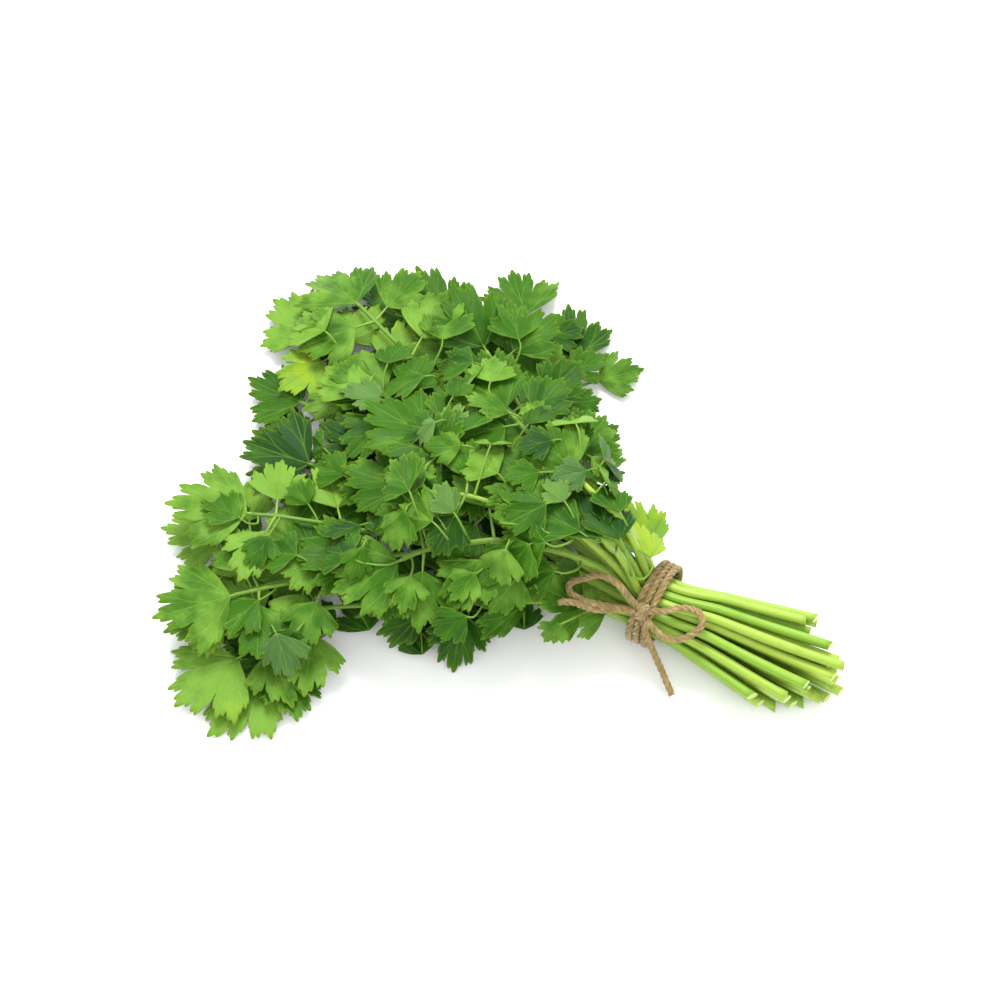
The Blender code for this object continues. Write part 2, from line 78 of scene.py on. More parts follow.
STATION = 0.002  # between the places where a stem's height is worked out
NEAR_STATIONS = (0.0, 0.0055, 0.015, 0.031)  # bends near the tie, the same for every stem
LONGEST_STRETCH = 0.045  # between two bends further out
TIE_HOLDS = 0.0070  # how far on the head side the tie still holds the stems in their rows
ROW_STIFF_LENGTH = 0.040  # along which the stems of a row lie side by side and not on one another

# The head, row by row from the surface up, and from the -Y side to the +Y side of each row:
# the angle of the stem from -X in degrees, how far it reaches in millimetres,
# how its tip turns aside in degrees, and the size of its leaflets in percent
FRONDS = (
    ((-30, 178, -64, 106), (0, 170, 0, 100), (59, 138, 0, 88)),
    ((-28, 180, -46, 104), (-17, 184, 0, 100), (9, 182, 0, 100), (29, 178, 0, 106), (47, 156, 0, 84)),
    ((-29, 102, -2, 100), (-25, 184, -36, 104), (-4, 164, 0, 100), (16, 197, 0, 106), (33, 166, 2, 102),
     (47, 122, 0, 90)),
    ((-31, 69, -4, 108), (-24, 177, -18, 100), (-18, 176, 0, 100), (4, 142, 0, 98), (22, 196, 4, 112),
     (39, 146, 0, 100), (36, 80, 4, 88)),
    ((-50, 46, -20, 90), (-21, 130, -10, 100), (-6, 122, 0, 96), (14, 154, 0, 100), (31, 120, 0, 96),
     (70, 36, 0, 92)),
    ((-24, 122, -60, 120), (-10, 104, 0, 98), (11, 126, 0, 98), (29, 106, 0, 96), (26, 66, 0, 92)),
    ((-14, 59, -6, 104), (6, 69, 4, 100), (24, 65, 0, 94)),
)

# Leaflets
SEED = 7
END_LEAFLET = 0.0265  # length of the leaflet at a stem's tip
SIDE_LEAFLET = 0.0200
END_SPREAD = 66  # degrees from a leaflet's rib to its outer lobe
SIDE_SPREAD = 58
END_TEETH = 4  # teeth on each side of the middle one
SIDE_TEETH = 3
LOBE_TEETH = 3  # teeth to a lobe
SIZE_SPREAD = 0.14
END_STALK = 0.002
STALK = (0.0065, 0.0095)  # length of the stalks of the first and second pair of side leaflets
BLADE_THICKNESS = 0.0007
PAIR_BACK = (0.0070, 0.0310)  # how far behind the end leaflet's foot each pair of side leaflets grows
PAIR_ANGLE = (80, 68)  # degrees from the stem
FIRST_PAIR_FROM = 0.070  # reach from which a stem has a pair of side leaflets
SECOND_PAIR_FROM = 0.105  # reach from which a stem above the lowest row has a second pair
SHALLOW_NOTCH = 0.80
DEEP_NOTCH = 0.50
OUTER_SHRINK = 0.30
SIDE_TOOTH_SHRINK = 0.10
TILT_STEP = 2  # degrees
STEEPEST = 60
SHAPES_TRIED = 30  # ways of lying that each leaflet tries before it keeps the lowest
CLEARANCE = 0.0011  # between a blade's middle surface and what lies below it
BED_SHARE = 45  # percent of a blade's bed that its foot is raised to
STEM_CLEARANCE = 0.0003

# The map of heights, in square cells over the surface
CELL = 0.001
MAP_LOW = Vector((-0.240, -0.190))
MAP_SIZE = (350, 380)

# The bow
KNOT_ANGLE = math.radians(50)  # up from the side that faces -Y
TWINE_BEND = 0.008  # the tightest arch of the twine where it lies over something
# The bow's strands through these places, in millimetres: two loops and two tails
BOW_STRANDS = (
    ((-0.5, -11, 29), (-8, -10.8, 32), (-16, -11, 36), (-22, -13, 34), (-26, -16.5, 33), (-24.5, -20, 32),
     (-19, -19, 31), (-11, -15.5, 31), (-0.5, -11.5, 29)),
    ((0.5, -11, 29), (6, -7.5, 28.5), (12.5, -3.5, 28), (18, -2.5, 27), (21, -6, 24.5), (18, -10.5, 21),
     (11, -13, 20.5), (5, -13.2, 23.5), (0.5, -11.5, 28)),
    ((-0.5, -11.5, 29), (-6, -14, 30), (-12, -17, 29.5), (-19, -21, 28), (-26, -26, 26)),
    ((0.5, -12, 28), (3, -14.8, 22), (6, -16.5, 16.5), (12.5, -19.8, 8.5), (19.5, -24, 2)),
)
BOW_STEPS = (13, 13, 6, 6)


def smooth(t):
    """Rises from 0 to 1 as t does, level at both ends."""
    t = min(max(t, 0.0), 1.0)
    return t * t * (3 - 2 * t)


def mix(a, b, t):
    return a + (b - a) * t


class Pile:
    """How high what has been laid so far reaches, over each cell of the surface."""

    def __init__(self):
        self.top = np.zeros(MAP_SIZE)

    def cells(self, points):
        places = np.asarray(points)[:, :2]
        return np.round((places - np.array(MAP_LOW)) / CELL).astype(int)

    def under(self, points, reach=1):
        """The highest top within reach, in cells, of each point."""
        cells = self.cells(points)
        sides = range(-reach, reach + 1)
        return np.max([self.top[cells[:, 0] + i, cells[:, 1] + j] for i in sides for j in sides], 0)

    def cover(self, points, half_thickness, reach=1):
        cells = self.cells(points)
        heights = np.asarray(points)[:, 2] + half_thickness
        for side in range(-reach, reach + 1):
            for ahead in range(-reach, reach + 1):
                np.maximum.at(self.top, (cells[:, 0] + side, cells[:, 1] + ahead), heights)


class Leaflet:
    """A fan-shaped blade on a short stalk. Blade coordinates are a radius and an angle from its foot."""

    def __init__(self, along, root, heading, stalk, length, spread, teeth, draw):
        self.along, self.root, self.heading, self.stalk = along, np.array(root), heading, stalk
        self.length = length * draw.uniform(1 - SIZE_SPREAD, 1 + SIZE_SPREAD)
        self.spread, self.teeth = math.radians(spread), teeth
        self.phase = draw.uniform(0, 2 * math.pi)
        self.draw = draw
        self.take_shape()

    def take_shape(self):
        """A natural droop, lean and curvature."""
        self.tilt, self.roll = self.draw.uniform(-20, 4), self.draw.uniform(-24, 24)
        self.curl, self.cup = self.draw.uniform(-0.22, 0.10), self.draw.uniform(-0.14, 0.18)
        self.ripple = self.draw.uniform(0.01, 0.05)

    def place(self, flat):
        """World points of flat ones, whose rows are along and across the blade from its foot."""
        along, across = np.asarray(flat, float).T
        u, v = np.maximum(along, 0) / self.length, across / self.length
        radius, angle = np.hypot(u, v), np.arctan2(v, u + 1e-9)
        rise = self.length * (
            self.curl * u**2 + self.cup * v**2 + self.ripple * radius**2 * np.sin(3 * angle + self.phase)
        )
        turn = (
            Matrix.Rotation(self.heading, 3, "Z")
            @ Matrix.Rotation(-math.radians(self.tilt), 3, "Y")
            @ Matrix.Rotation(math.radians(self.roll), 3, "X")
        )
        return self.root + np.stack([along + self.stalk, across, rise], 1) @ np.array(turn).T

    def stalk_line(self):
        """From inside the stem to a little way under the blade."""
        reach = np.linspace(-self.stalk, 0.0012, 8)
        return self.place(np.stack([reach, np.zeros(8)], 1))

    def edge(self):
        """Radius and angle of the points of the toothed edge, from one outer lobe to the other."""
        points = []
        for k in range(-2 * self.teeth, 2 * self.teeth + 1):
            share = k / (2 * self.teeth)
            radius = 1 - OUTER_SHRINK * share**2
            tooth = k // 2
            if k % 2 == 0:
                in_lobe = (tooth + LOBE_TEETH // 2) % LOBE_TEETH
                radius *= 1 if in_lobe == LOBE_TEETH // 2 else 1 - SIDE_TOOTH_SHRINK
            else:
                between = (tooth + LOBE_TEETH // 2) % LOBE_TEETH == LOBE_TEETH - 1
                radius *= DEEP_NOTCH if between else SHALLOW_NOTCH
            points.append((radius * self.length, share * self.spread))
        return points

    def samples(self, shares):
        return [
            (share * radius * math.cos(angle), share * radius * math.sin(angle))
            for share in shares
            for radius, angle in self.edge()
        ]

    def bed(self, pile, near):
        """How high the foot should be for the blade to lie nearly flat on what is below it."""
        points = self.place(self.samples((0.45, 0.7, 0.95)))
        below = np.maximum(pile.under(points), near.under(points))
        return np.percentile(below, BED_SHARE) + CLEARANCE

    def clears(self, points, pile, near):
        return (points[:, 2] >= np.maximum(pile.under(points), near.under(points)) + CLEARANCE).all()

    def settle(self, pile, near):
        """Raises the blade from its natural droop until it clears what lies below, in the lowest way."""
        flat, found = self.samples((0.35, 0.6, 0.8, 1.0)), []
        for _ in range(SHAPES_TRIED):
            self.take_shape()
            points = self.place(flat)
            while self.tilt < STEEPEST and not self.clears(points, pile, near):
                self.tilt += TILT_STEP
                points = self.place(flat)
            found.append((points[:, 2].max(), self.tilt, self.roll, self.curl, self.cup, self.ripple))
        _, self.tilt, self.roll, self.curl, self.cup, self.ripple = min(found)
        stalk = [(-share * self.stalk, 0.0) for share in (0.2, 0.4, 0.6, 0.8)]
        pile.cover(self.place(self.samples(np.linspace(0.04, 1.0, 16)) + stalk), BLADE_THICKNESS / 2)


class Stem:
    """The line of a stem from its cut end to its tip, with its leaflets."""

    def __init__(self, row, place, number):
        self.row, self.number = row, number
        self.draw = random.Random(SEED * 1000 + number)
        self.across = place - (STEM_ROWS[row] - 1) / 2
        self.up = row - (len(STEM_ROWS) - 1) / 2
        angle, reach, bend, size = FRONDS[row][place]
        self.fan = math.radians(angle + self.draw.uniform(-2, 2))
        self.bend = math.radians(bend + self.draw.uniform(-6, 6))
        self.reach, self.size = reach / 1000, size / 100
        self.foot = self.reach - END_LEAFLET * self.size  # where the end leaflet grows, along the stem
        pairs = int(self.reach > FIRST_PAIR_FROM) + int(row > 0 and self.reach > SECOND_PAIR_FROM)
        self.pairs = [self.foot - PAIR_BACK[k] - self.draw.uniform(0, 0.003) for k in range(pairs)]
        self.lean = math.radians(CUT_LEAN + self.up * ROW_LEAN + self.draw.uniform(-0.6, 0.6))
        end = self.across * STEM_PITCH * (1 + CUT_FAN) + math.tan(self.lean) * CUT_LENGTH
        self.cut = np.interp(end, *zip(*CUT_ENDS)) - self.draw.uniform(0, CUT_SPREAD)

    def radius(self, distance):
        """Radius at a distance along the stem from the tie, less than 0 on the cut side."""
        if distance < 0:
            return mix(NECK_STEM_RADIUS, CUT_RADIUS, -distance / CUT_LENGTH)
        if distance < 0.5 * self.reach:
            return mix(NECK_STEM_RADIUS, LEAF_STEM_RADIUS, distance / (0.5 * self.reach))
        return mix(LEAF_STEM_RADIUS, TIP_RADIUS, distance / (0.5 * self.reach) - 1)

    def cut_point(self, distance):
        """Where the stem is at a distance from the tie on the cut side."""
        share = distance / CUT_LENGTH
        y = self.across * STEM_PITCH * (1 + CUT_FAN * smooth(share))
        lean = math.tan(self.lean) * distance * smooth(share * 3)
        low = mix(NECK_HEIGHT, 3 * CUT_PITCH + CUT_RADIUS + 0.0003, smooth(share * 1.5))
        z = low + self.up * mix(STEM_PITCH, CUT_PITCH, smooth(share * 3))
        return Vector((distance, y + lean, z))

    def rest_height(self, distance, off_axis):
        """The height at which the row would run if nothing lay in its way."""
        out = distance / HEAD_LENGTH
        fullness = smooth(out / 0.35) * (1 - smooth((out - 0.5) / 0.6)) * math.cos(min(off_axis, 1.2))
        layer = mix(LAYER_EDGE, LAYER_HEIGHT, fullness)
        low = LEAF_STEM_RADIUS + 0.0022 + self.row * layer
        return mix(NECK_HEIGHT + self.up * STEM_PITCH, low, smooth((distance - 0.004) / 0.060))

    def lay(self, pile, near):
        """Lays the head side on the pile. near holds this row's stems where they lie side by side."""
        self.draw_plan()
        self.choose_leaflets()
        radii = np.array([self.radius(d) for d in self.along])
        need = np.maximum(self.line[:, 2], pile.under(self.line, 2) + radii + STEM_CLEARANCE)
        for leaflet in self.leaflets:
            station = np.abs(self.along - leaflet.along).argmin()
            need[station] = max(need[station], leaflet.bed(pile, near))
        apart = self.along[None, :] - self.along[:, None]
        arched = (need[None, :] - apart**2 / (2 * STIFFNESS)).max(1)
        free = np.array([smooth((d - 0.005) / 0.011) for d in self.along])
        least = self.line[:, 2] + (arched - self.line[:, 2]) * free
        heights = np.interp(self.stations, self.along, least)
        for _ in range(6):
            short = (least - np.interp(self.along, self.stations, heights)) * (free > 0.02)
            for k in range(len(heights) - 1):
                within = (self.along >= self.stations[k]) & (self.along <= self.stations[k + 1])
                lift = max(short[within].max(), 0)
                heights[k:k + 2] += lift * (np.array(self.stations[k:k + 2]) > TIE_HOLDS)
        self.line[:, 2] = np.interp(self.along, self.stations, heights)
        for leaflet in self.leaflets:
            leaflet.root[2] = self.at(leaflet.along)[0][2]
            leaflet.settle(pile, near)
        pile.cover(self.wide(self.along > ROW_STIFF_LENGTH), 0.0)
        near.cover(self.wide(self.along <= ROW_STIFF_LENGTH), 0.0)

    def draw_plan(self):
        """The stem's line as seen from above, at the heights it would have alone."""
        count = int(self.foot / STATION)
        x, y = 0.0, self.across * STEM_PITCH
        curve = []
        fan_length = min(FAN_LENGTH, self.foot)
        self.along = np.linspace(0, self.foot, count + 1)
        for distance in self.along:
            curve.append((x, y, self.rest_height(distance, abs(math.atan2(y, 1e-6 - x)))))
            heading = self.fan * smooth((distance - FAN_START) / fan_length)
            heading += self.bend * smooth((distance / self.reach - BEND_START) / (1 - BEND_START))
            x -= math.cos(heading) * self.foot / count
            y += math.sin(heading) * self.foot / count
        self.stations = [d for d in NEAR_STATIONS if d < min([self.foot, *self.pairs]) - 0.003]
        for distance in sorted([*self.pairs, self.foot]):
            stretches = math.ceil((distance - self.stations[-1]) / LONGEST_STRETCH)
            self.stations += list(np.linspace(self.stations[-1], distance, stretches + 1)[1:])
        bends = [[np.interp(d, self.along, axis) for d in self.stations] for axis in zip(*curve)]
        self.line = np.array([np.interp(self.along, self.stations, axis) for axis in bends]).T

    def wide(self, chosen):
        """Points over the whole width of the stem, at its upper side."""
        found = []
        for (x, y, z), distance in zip(self.line[chosen], self.along[chosen]):
            radius = self.radius(distance)
            for side in (-0.8, 0.0, 0.8):
                found.append((x, y + side * radius, z + radius))
                found.append((x + side * radius, y, z + radius))
        return np.array(found).reshape(-1, 3)

    def at(self, distance):
        """Place and plan heading of the stem at a distance from the tie."""
        place = np.array([np.interp(distance, self.along, self.line[:, k]) for k in range(3)])
        back = np.array([np.interp(distance - 0.004, self.along, self.line[:, k]) for k in range(3)])
        ahead = place - back
        return place, math.atan2(ahead[1], ahead[0])

    def choose_leaflets(self):
        place, heading = self.at(self.foot)
        self.leaflets = [
            Leaflet(
                self.foot, place, heading, END_STALK,
                END_LEAFLET * self.size, END_SPREAD, END_TEETH, self.draw,
            )
        ]
        for along, angle, length in zip(self.pairs, PAIR_ANGLE, STALK):
            place, heading = self.at(along)
            for side in (-1, 1):
                turn = side * math.radians(angle + self.draw.uniform(-8, 8))
                stalk = length * self.draw.uniform(0.85, 1.3)
                blade_length = SIDE_LEAFLET * self.size
                self.leaflets.append(Leaflet(
                    along, place, heading + turn, stalk, blade_length, SIDE_SPREAD, SIDE_TEETH, self.draw
                ))


def lay_bunch():
    """All the stems with their leaflets, and the pile that they make."""
    pile, stems = Pile(), []
    for row, count in enumerate(STEM_ROWS):
        near = Pile()
        in_row = [Stem(row, place, len(stems) + place + 1) for place in range(count)]
        for stem in sorted(in_row, key=lambda s: -s.reach):
            stem.lay(pile, near)
        for stem in in_row:
            distances = np.linspace(0, stem.cut, 40)
            near.cover([stem.cut_point(d) + Vector((0, 0, stem.radius(-d))) for d in distances], 0.0)
        pile.top = np.maximum(pile.top, near.top)
        stems += in_row
    return stems, pile


def curve_through(points, count):
    """A smooth line through given points."""
    knots = [2 * points[0] - points[1], *points, 2 * points[-1] - points[-2]]
    line = []
    for k in range(count + 1):
        t = k / count * (len(points) - 1)
        i = min(int(t), len(points) - 2)
        t -= i
        a, b, c, d = knots[i:i + 4]
        line.append(
            0.5 * (2 * b + (c - a) * t + (2 * a - 5 * b + 4 * c - d) * t**2 + (3 * b - a - 3 * c + d) * t**3)
        )
    return line


def knot_place():
    outer = BAND_RADIUS + 2 * TWINE_RADIUS
    return Vector((0, -outer * math.cos(KNOT_ANGLE), NECK_HEIGHT + outer * math.sin(KNOT_ANGLE)))


def bow_line(places, pile, count):
    """A strand of the bow: it leaves the knot and lies on the stems and leaves."""
    knot = knot_place()
    line = np.array(curve_through([Vector(place) / 1000 for place in places], count))
    steps = np.linalg.norm(np.diff(line, axis=0), axis=1)
    along = np.concatenate([[0], np.cumsum(steps)])
    need = np.maximum(line[:, 2], pile.under(line, 1) + TWINE_RADIUS + STEM_CLEARANCE)
    arched = (need[None, :] - (along[None, :] - along[:, None])**2 / (2 * TWINE_BEND)).max(1)
    free = [smooth(((Vector(p) - knot).length - 0.0025) / 0.004) for p in line]
    line[:, 2] += (arched - line[:, 2]) * free
    return [Vector(p) for p in line]


# The fine blades
LEAF_THICKNESS = 0.00034
COLUMNS_PER_TOOTH = 16
SMALL_COLUMNS = 11  # columns per tooth of a small blade
SMALL_BLADE = 0.0165  # the longest blade that counts as small
EDGE_OVERRUN = 0.40  # how far the blade goes on past its outermost tooth, in teeth
EDGE_DROP = 0.45  # how much shorter the blade gets in the overrun
RADIAL_SHARES = (0.0, 0.13, 0.34, 0.54, 0.72, 0.87, 1.0)
LOBE_DOME = 0.24  # how much shorter the blade is at a lobe's sides than at its middle
TOOTH_DOME = 0.17
TOOTH_SIZES = (0.95, 1.04)
SLIT_WIDTH = 0.17  # half the width of a slit, in teeth
DEEP_SLIT = 0.38  # where a slit between two lobes ends, as a share of the radius
SHALLOW_SLIT = 0.70
CRENATION = 0.095  # depth of the small nicks, as a share of the radius
NICKS = 2.5  # to a tooth
LOBE_FOLD = 0.0013  # how far a lobe's rib lies below its sides
TOOTH_FOLD = 0.00016
LOBE_LIFT = 0.0012  # how unevenly the lobes' tips lie
EDGE_RIPPLE = 0.0005

# The fine stems and stalks
STEM_SIDES = 14
STEM_RIBS = 7
RING_STEP = 0.0026
NODE_SWELL = 0.22  # how much thicker a stem is where leaflets grow
HEAD_THINNING = 0.22  # how much thinner a stem is further out in the head
STALK_RADIUS = 0.00055
STALK_SIDES = 8
STALK_SHARES = (1.25, 0.95)  # how thick a stalk is at the stem: of a leaflet and of a small one

# The fine twine
PLY_RADIUS = 0.00066
PLY_OFFSET = 0.00066
PLY_SIDES = 9
TWIST_LENGTH = 0.0078
TWINE_STEP = 0.0007
FIBRE_WIDTH = 0.00004
FIBRES_PER_STEP = 0.6

LEAFY_FINISHES = ("leaf_top", "leaf_under", "stem_skin")

# The camera
CAMERA_AZIMUTH = 28
CAMERA_ELEVATION = 62
CAMERA_LENS = 120
SENSOR = 36
CAMERA_ACROSS = -0.0558
CAMERA_UP = 0.0371
FRAME_WIDTH = 0.360
PICTURE_SIDE = 1000  # pixels
VIEW_REACH = 0.09  # how far before and behind the camera's target the pile reaches


def new_object(name, mesh):
    obj = bpy.data.objects.new(name, mesh)
    bpy.context.scene.collection.objects.link(obj)
    return obj


def deselect_all():
    for obj in bpy.context.selected_objects:
        obj.select_set(False)


def grid_sheet(name, columns, rows):
    """A flat sheet of quads, added as a primitive, for the shapes that follow to bend."""
    deselect_all()
    bpy.ops.mesh.primitive_grid_add(x_subdivisions=columns, y_subdivisions=rows, size=1.0)
    sheet = bpy.context.object
    sheet.name = name
    return sheet


def bent_copy(sheet, name, points):
    """A copy of the sheet with its own mesh, bent through the points, a row at a time."""
    mesh = sheet.data.copy()
    mesh.name = name
    mesh.vertices.foreach_set("co", np.asarray(points, np.float32).ravel())
    mesh.update()
    return mesh


def give(mesh, name, values):
    """A number for each vertex, that the materials read."""
    attribute = mesh.attributes.get(name) or mesh.attributes.new(name, "FLOAT", "POINT")
    attribute.data.foreach_set("value", np.broadcast_to(np.asarray(values, np.float32), len(mesh.vertices)))


def dress(mesh, tone, along, rim=0.5):
    """Gives a piece of a leafy stem its finishes and the numbers that they read."""
    for name, values in (("tone", tone), ("along", along), ("rim", rim)):
        give(mesh, name, values)
    for finish_name in LEAFY_FINISHES:
        mesh.materials.append(bpy.data.materials[finish_name])


def finish_all(mesh, finish_name):
    index = LEAFY_FINISHES.index(finish_name)
    mesh.polygons.foreach_set("material_index", [index] * len(mesh.polygons))


def weld(mesh):
    """Closes the seam and the ends of a rolled sheet, and turns its faces outwards."""
    shell = bmesh.new()
    shell.from_mesh(mesh)
    bmesh.ops.remove_doubles(shell, verts=shell.verts, dist=0.000004)
    bmesh.ops.recalc_face_normals(shell, faces=shell.faces)
    for face in shell.faces:
        face.smooth = True
    shell.to_mesh(mesh)
    shell.free()
    return mesh


def frames_along(line):
    """Two directions square to the line at each of its points, that don't twist along it."""
    line = np.asarray(line, float)
    ahead = np.gradient(line, axis=0)
    ahead /= np.linalg.norm(ahead, axis=1)[:, None]
    side = np.cross(ahead[0], (0.0, 0.0, 1.0) if abs(ahead[0][2]) < 0.9 else (1.0, 0.0, 0.0))
    sides = []
    for direction in ahead:
        side = side - direction * side.dot(direction)
        side = side / np.linalg.norm(side)
        sides.append(side)
    sides = np.array(sides)
    return ahead, sides, np.cross(ahead, sides)


def tube_points(line, radii, sides, ribs=0.0, lean=None):
    """Rings round a line, closed at both ends, for a sheet that is rolled into a tube."""
    ahead, side, up = frames_along(line)
    around = np.linspace(0, 2 * math.pi, sides + 1)
    wave = 1 + ribs * np.cos(STEM_RIBS * around)
    rings = (
        np.asarray(line)[:, None, :]
        + (np.asarray(radii)[:, None] * wave * np.cos(around))[:, :, None] * side[:, None, :]
        + (np.asarray(radii)[:, None] * wave * np.sin(around))[:, :, None] * up[:, None, :]
    )
    if lean is not None:
        rings[0] += ahead[0] * (lean * radii[0] * np.cos(around))[:, None]
    first, last = rings[0].mean(0), rings[-1].mean(0)
    caps_first = [first + (rings[0] - first) * share for share in (0.0, 0.55, 0.93)]
    caps_last = [last + (rings[-1] - last) * share for share in (0.8, 0.0)]
    return np.array([*caps_first, *rings, *caps_last])


class Workshop:
    """Keeps one flat sheet of each size, and bends copies of it."""

    def __init__(self):
        self.sheets = {}

    def bend(self, name, grid):
        grid = np.asarray(grid)
        rows, columns = grid.shape[0] - 1, grid.shape[1] - 1
        if (columns, rows) not in self.sheets:
            self.sheets[columns, rows] = grid_sheet(f"sheet_{columns}_{rows}", columns, rows)
        return bent_copy(self.sheets[columns, rows], name, grid.reshape(-1, 3))

    def tidy(self):
        for sheet in self.sheets.values():
            mesh = sheet.data
            bpy.data.objects.remove(sheet)
            bpy.data.meshes.remove(mesh)


def edge_profile(places, teeth, draw):
    """The blade's radius at places across it, counted in teeth from the middle one."""
    lobe = np.round(places / LOBE_TEETH)
    across_lobe = (places / LOBE_TEETH - lobe) * 2
    across_tooth = places - np.round(places)
    reach = 1 - OUTER_SHRINK * (places / teeth)**2
    reach *= 1 - LOBE_DOME * np.abs(across_lobe)**2.2
    reach *= 1 - TOOTH_DOME * (2 * across_tooth)**2
    vary = {k: draw.uniform(*TOOTH_SIZES) for k in range(-teeth - 1, teeth + 2)}
    reach *= np.interp(places, list(vary), list(vary.values()))
    shift = draw.uniform(-0.06, 0.06)
    reach *= 1 - CRENATION * (1 - np.abs(np.cos(NICKS * math.pi * (across_tooth + shift)))**0.8)
    for tooth in range(-teeth, teeth):
        deep = (tooth + LOBE_TEETH // 2) % LOBE_TEETH == LOBE_TEETH - 1
        bottom = (DEEP_SLIT if deep else SHALLOW_SLIT) * draw.uniform(0.9, 1.08)
        middle = tooth + 0.5 + draw.uniform(-0.06, 0.06)
        away = np.minimum(np.abs(places - middle) / (SLIT_WIDTH * draw.uniform(0.8, 1.25)), 1)
        reach = np.minimum(reach, bottom + (1 - bottom) * (1 - (1 - away)**1.7) + 10 * (away >= 1))
    last = np.clip((np.abs(places) - teeth + 0.25) / (EDGE_OVERRUN + 0.25), 0, 1)
    return reach * (1 - EDGE_DROP * last**2)


def leaf_grid(leaflet, draw):
    """Points of a leaflet's middle surface, and where each lies: teeth across and share of the radius."""
    reach = leaflet.teeth + EDGE_OVERRUN
    per_tooth = COLUMNS_PER_TOOTH if leaflet.length > SMALL_BLADE else SMALL_COLUMNS
    columns = per_tooth * (2 * leaflet.teeth + 1)
    across = np.linspace(-reach, reach, columns + 1)
    edge = edge_profile(across, leaflet.teeth, draw) * leaflet.length
    angles = across / leaflet.teeth * leaflet.spread
    shares = np.array(RADIAL_SHARES)[:, None]
    radius = shares * edge[None, :]
    flat = np.stack([radius * np.cos(angles), radius * np.sin(angles)], 2).reshape(-1, 2)
    grid = leaflet.place(flat).reshape(len(RADIAL_SHARES), columns + 1, 3)
    normal = np.cross(np.gradient(grid, axis=1), np.gradient(grid, axis=0))
    size = np.linalg.norm(normal, axis=2)
    size[size < 1e-12] = 1.0
    normal /= size[:, :, None]
    normal[0] = normal[1].mean(0)
    if normal[:, :, 2].mean() < 0:
        normal = -normal
    out = radius / leaflet.length
    across_lobe = np.abs(across / LOBE_TEETH - np.round(across / LOBE_TEETH)) * 2
    across_tooth = np.abs(across - np.round(across)) * 2
    lift = np.interp(across, np.arange(-6, 7) * 0.8, [draw.uniform(-1, 1) for _ in range(13)])
    phase, waves = draw.uniform(0, 6), draw.uniform(1.6, 2.6)
    rise = LOBE_FOLD * (across_lobe**1.4 - 0.35)[None, :] * np.sin(math.pi * np.minimum(out, 1) * 0.75)
    rise += TOOTH_FOLD * (across_tooth - 0.5)[None, :] * out
    rise += LOBE_LIFT * lift[None, :] * out**2
    rise += EDGE_RIPPLE * np.sin(across * waves + phase)[None, :] * out**3
    grid += normal * rise[:, :, None]
    grid[:, :, 2] = np.maximum(grid[:, :, 2], LEAF_THICKNESS)
    return grid, across, shares, edge


def leaf_mesh(shop, leaflet, name, draw, tone, turned=False):
    """A leaflet's blade as a thin closed sheet: the upper face and the underside have their own finishes.

    A turned leaflet lies with its underside up."""
    grid, across, shares, edge = leaf_grid(leaflet, draw)
    mesh = shop.bend(name, grid)
    rows, columns = grid.shape[:2]
    uv = np.empty((rows, columns, 2))
    uv[:, :, 0] = across[None, :]
    uv[:, :, 1] = shares * (edge / leaflet.length)[None, :]
    corners = np.empty(len(mesh.loops), np.int32)
    mesh.loops.foreach_get("vertex_index", corners)
    mesh.uv_layers[0].data.foreach_set("uv", uv.reshape(-1, 2)[corners].astype(np.float32).ravel())
    dress(mesh, tone, 0.2, (shares * np.ones(columns)).ravel())
    shell = bmesh.new()
    shell.from_mesh(mesh)
    bmesh.ops.remove_doubles(shell, verts=shell.verts, dist=0.000002)
    normal = sum((face.normal * face.calc_area() for face in shell.faces), Vector())
    if normal.z < 0:
        bmesh.ops.reverse_faces(shell, faces=shell.faces)
    shell.to_mesh(mesh)
    shell.free()
    finish_all(mesh, "leaf_under" if turned else "leaf_top")
    obj = new_object(name, mesh)
    thick = obj.modifiers.new("thickness", "SOLIDIFY")
    thick.thickness = LEAF_THICKNESS
    thick.offset = 0
    thick.use_even_offset = False
    thick.material_offset = -1 if turned else 1
    thick.material_offset_rim = 0
    return obj


def fine_line(stem):
    """The whole stem's line, cut end first, with its bends eased."""
    distances = np.arange(stem.cut, 0.0005, -RING_STEP)
    cut_side = np.array([stem.cut_point(d) for d in distances])
    head = stem.line
    line = np.concatenate([cut_side, head])
    along = np.concatenate([-distances, stem.along])
    for _ in range(6):
        eased = line.copy()
        eased[1:-1] = 0.25 * line[:-2] + 0.5 * line[1:-1] + 0.25 * line[2:]
        keep = (along[1:-1] < 0.012)[:, None]
        line[1:-1] = np.where(keep, line[1:-1], eased[1:-1])
    return line, along


def stem_mesh(shop, stem, name, draw, tone):
    """A ribbed stem, cut aslant at its lower end and a little thicker where leaflets grow."""
    line, along = fine_line(stem)
    radii = np.array([stem.radius(d) for d in along])
    for place in (*stem.pairs, stem.foot):
        radii *= 1 + NODE_SWELL * np.exp(-((along - place) / 0.0022)**2)
    radii *= 1 + 0.04 * np.sin(along * 160 + draw.uniform(0, 6))
    radii *= 1 - HEAD_THINNING * np.clip((along - 0.012) / 0.030, 0, 1)
    points = tube_points(line, radii, STEM_SIDES, 0.045, lean=draw.uniform(-0.7, 0.7))
    mesh = shop.bend(name, points)
    from_end = along - along[0]
    values = np.concatenate([[-0.004, -0.003, -0.0012], from_end, [from_end[-1]] * 2])
    dress(mesh, tone, np.repeat(values, STEM_SIDES + 1))
    finish_all(weld(mesh), "stem_skin")
    return new_object(name, mesh)


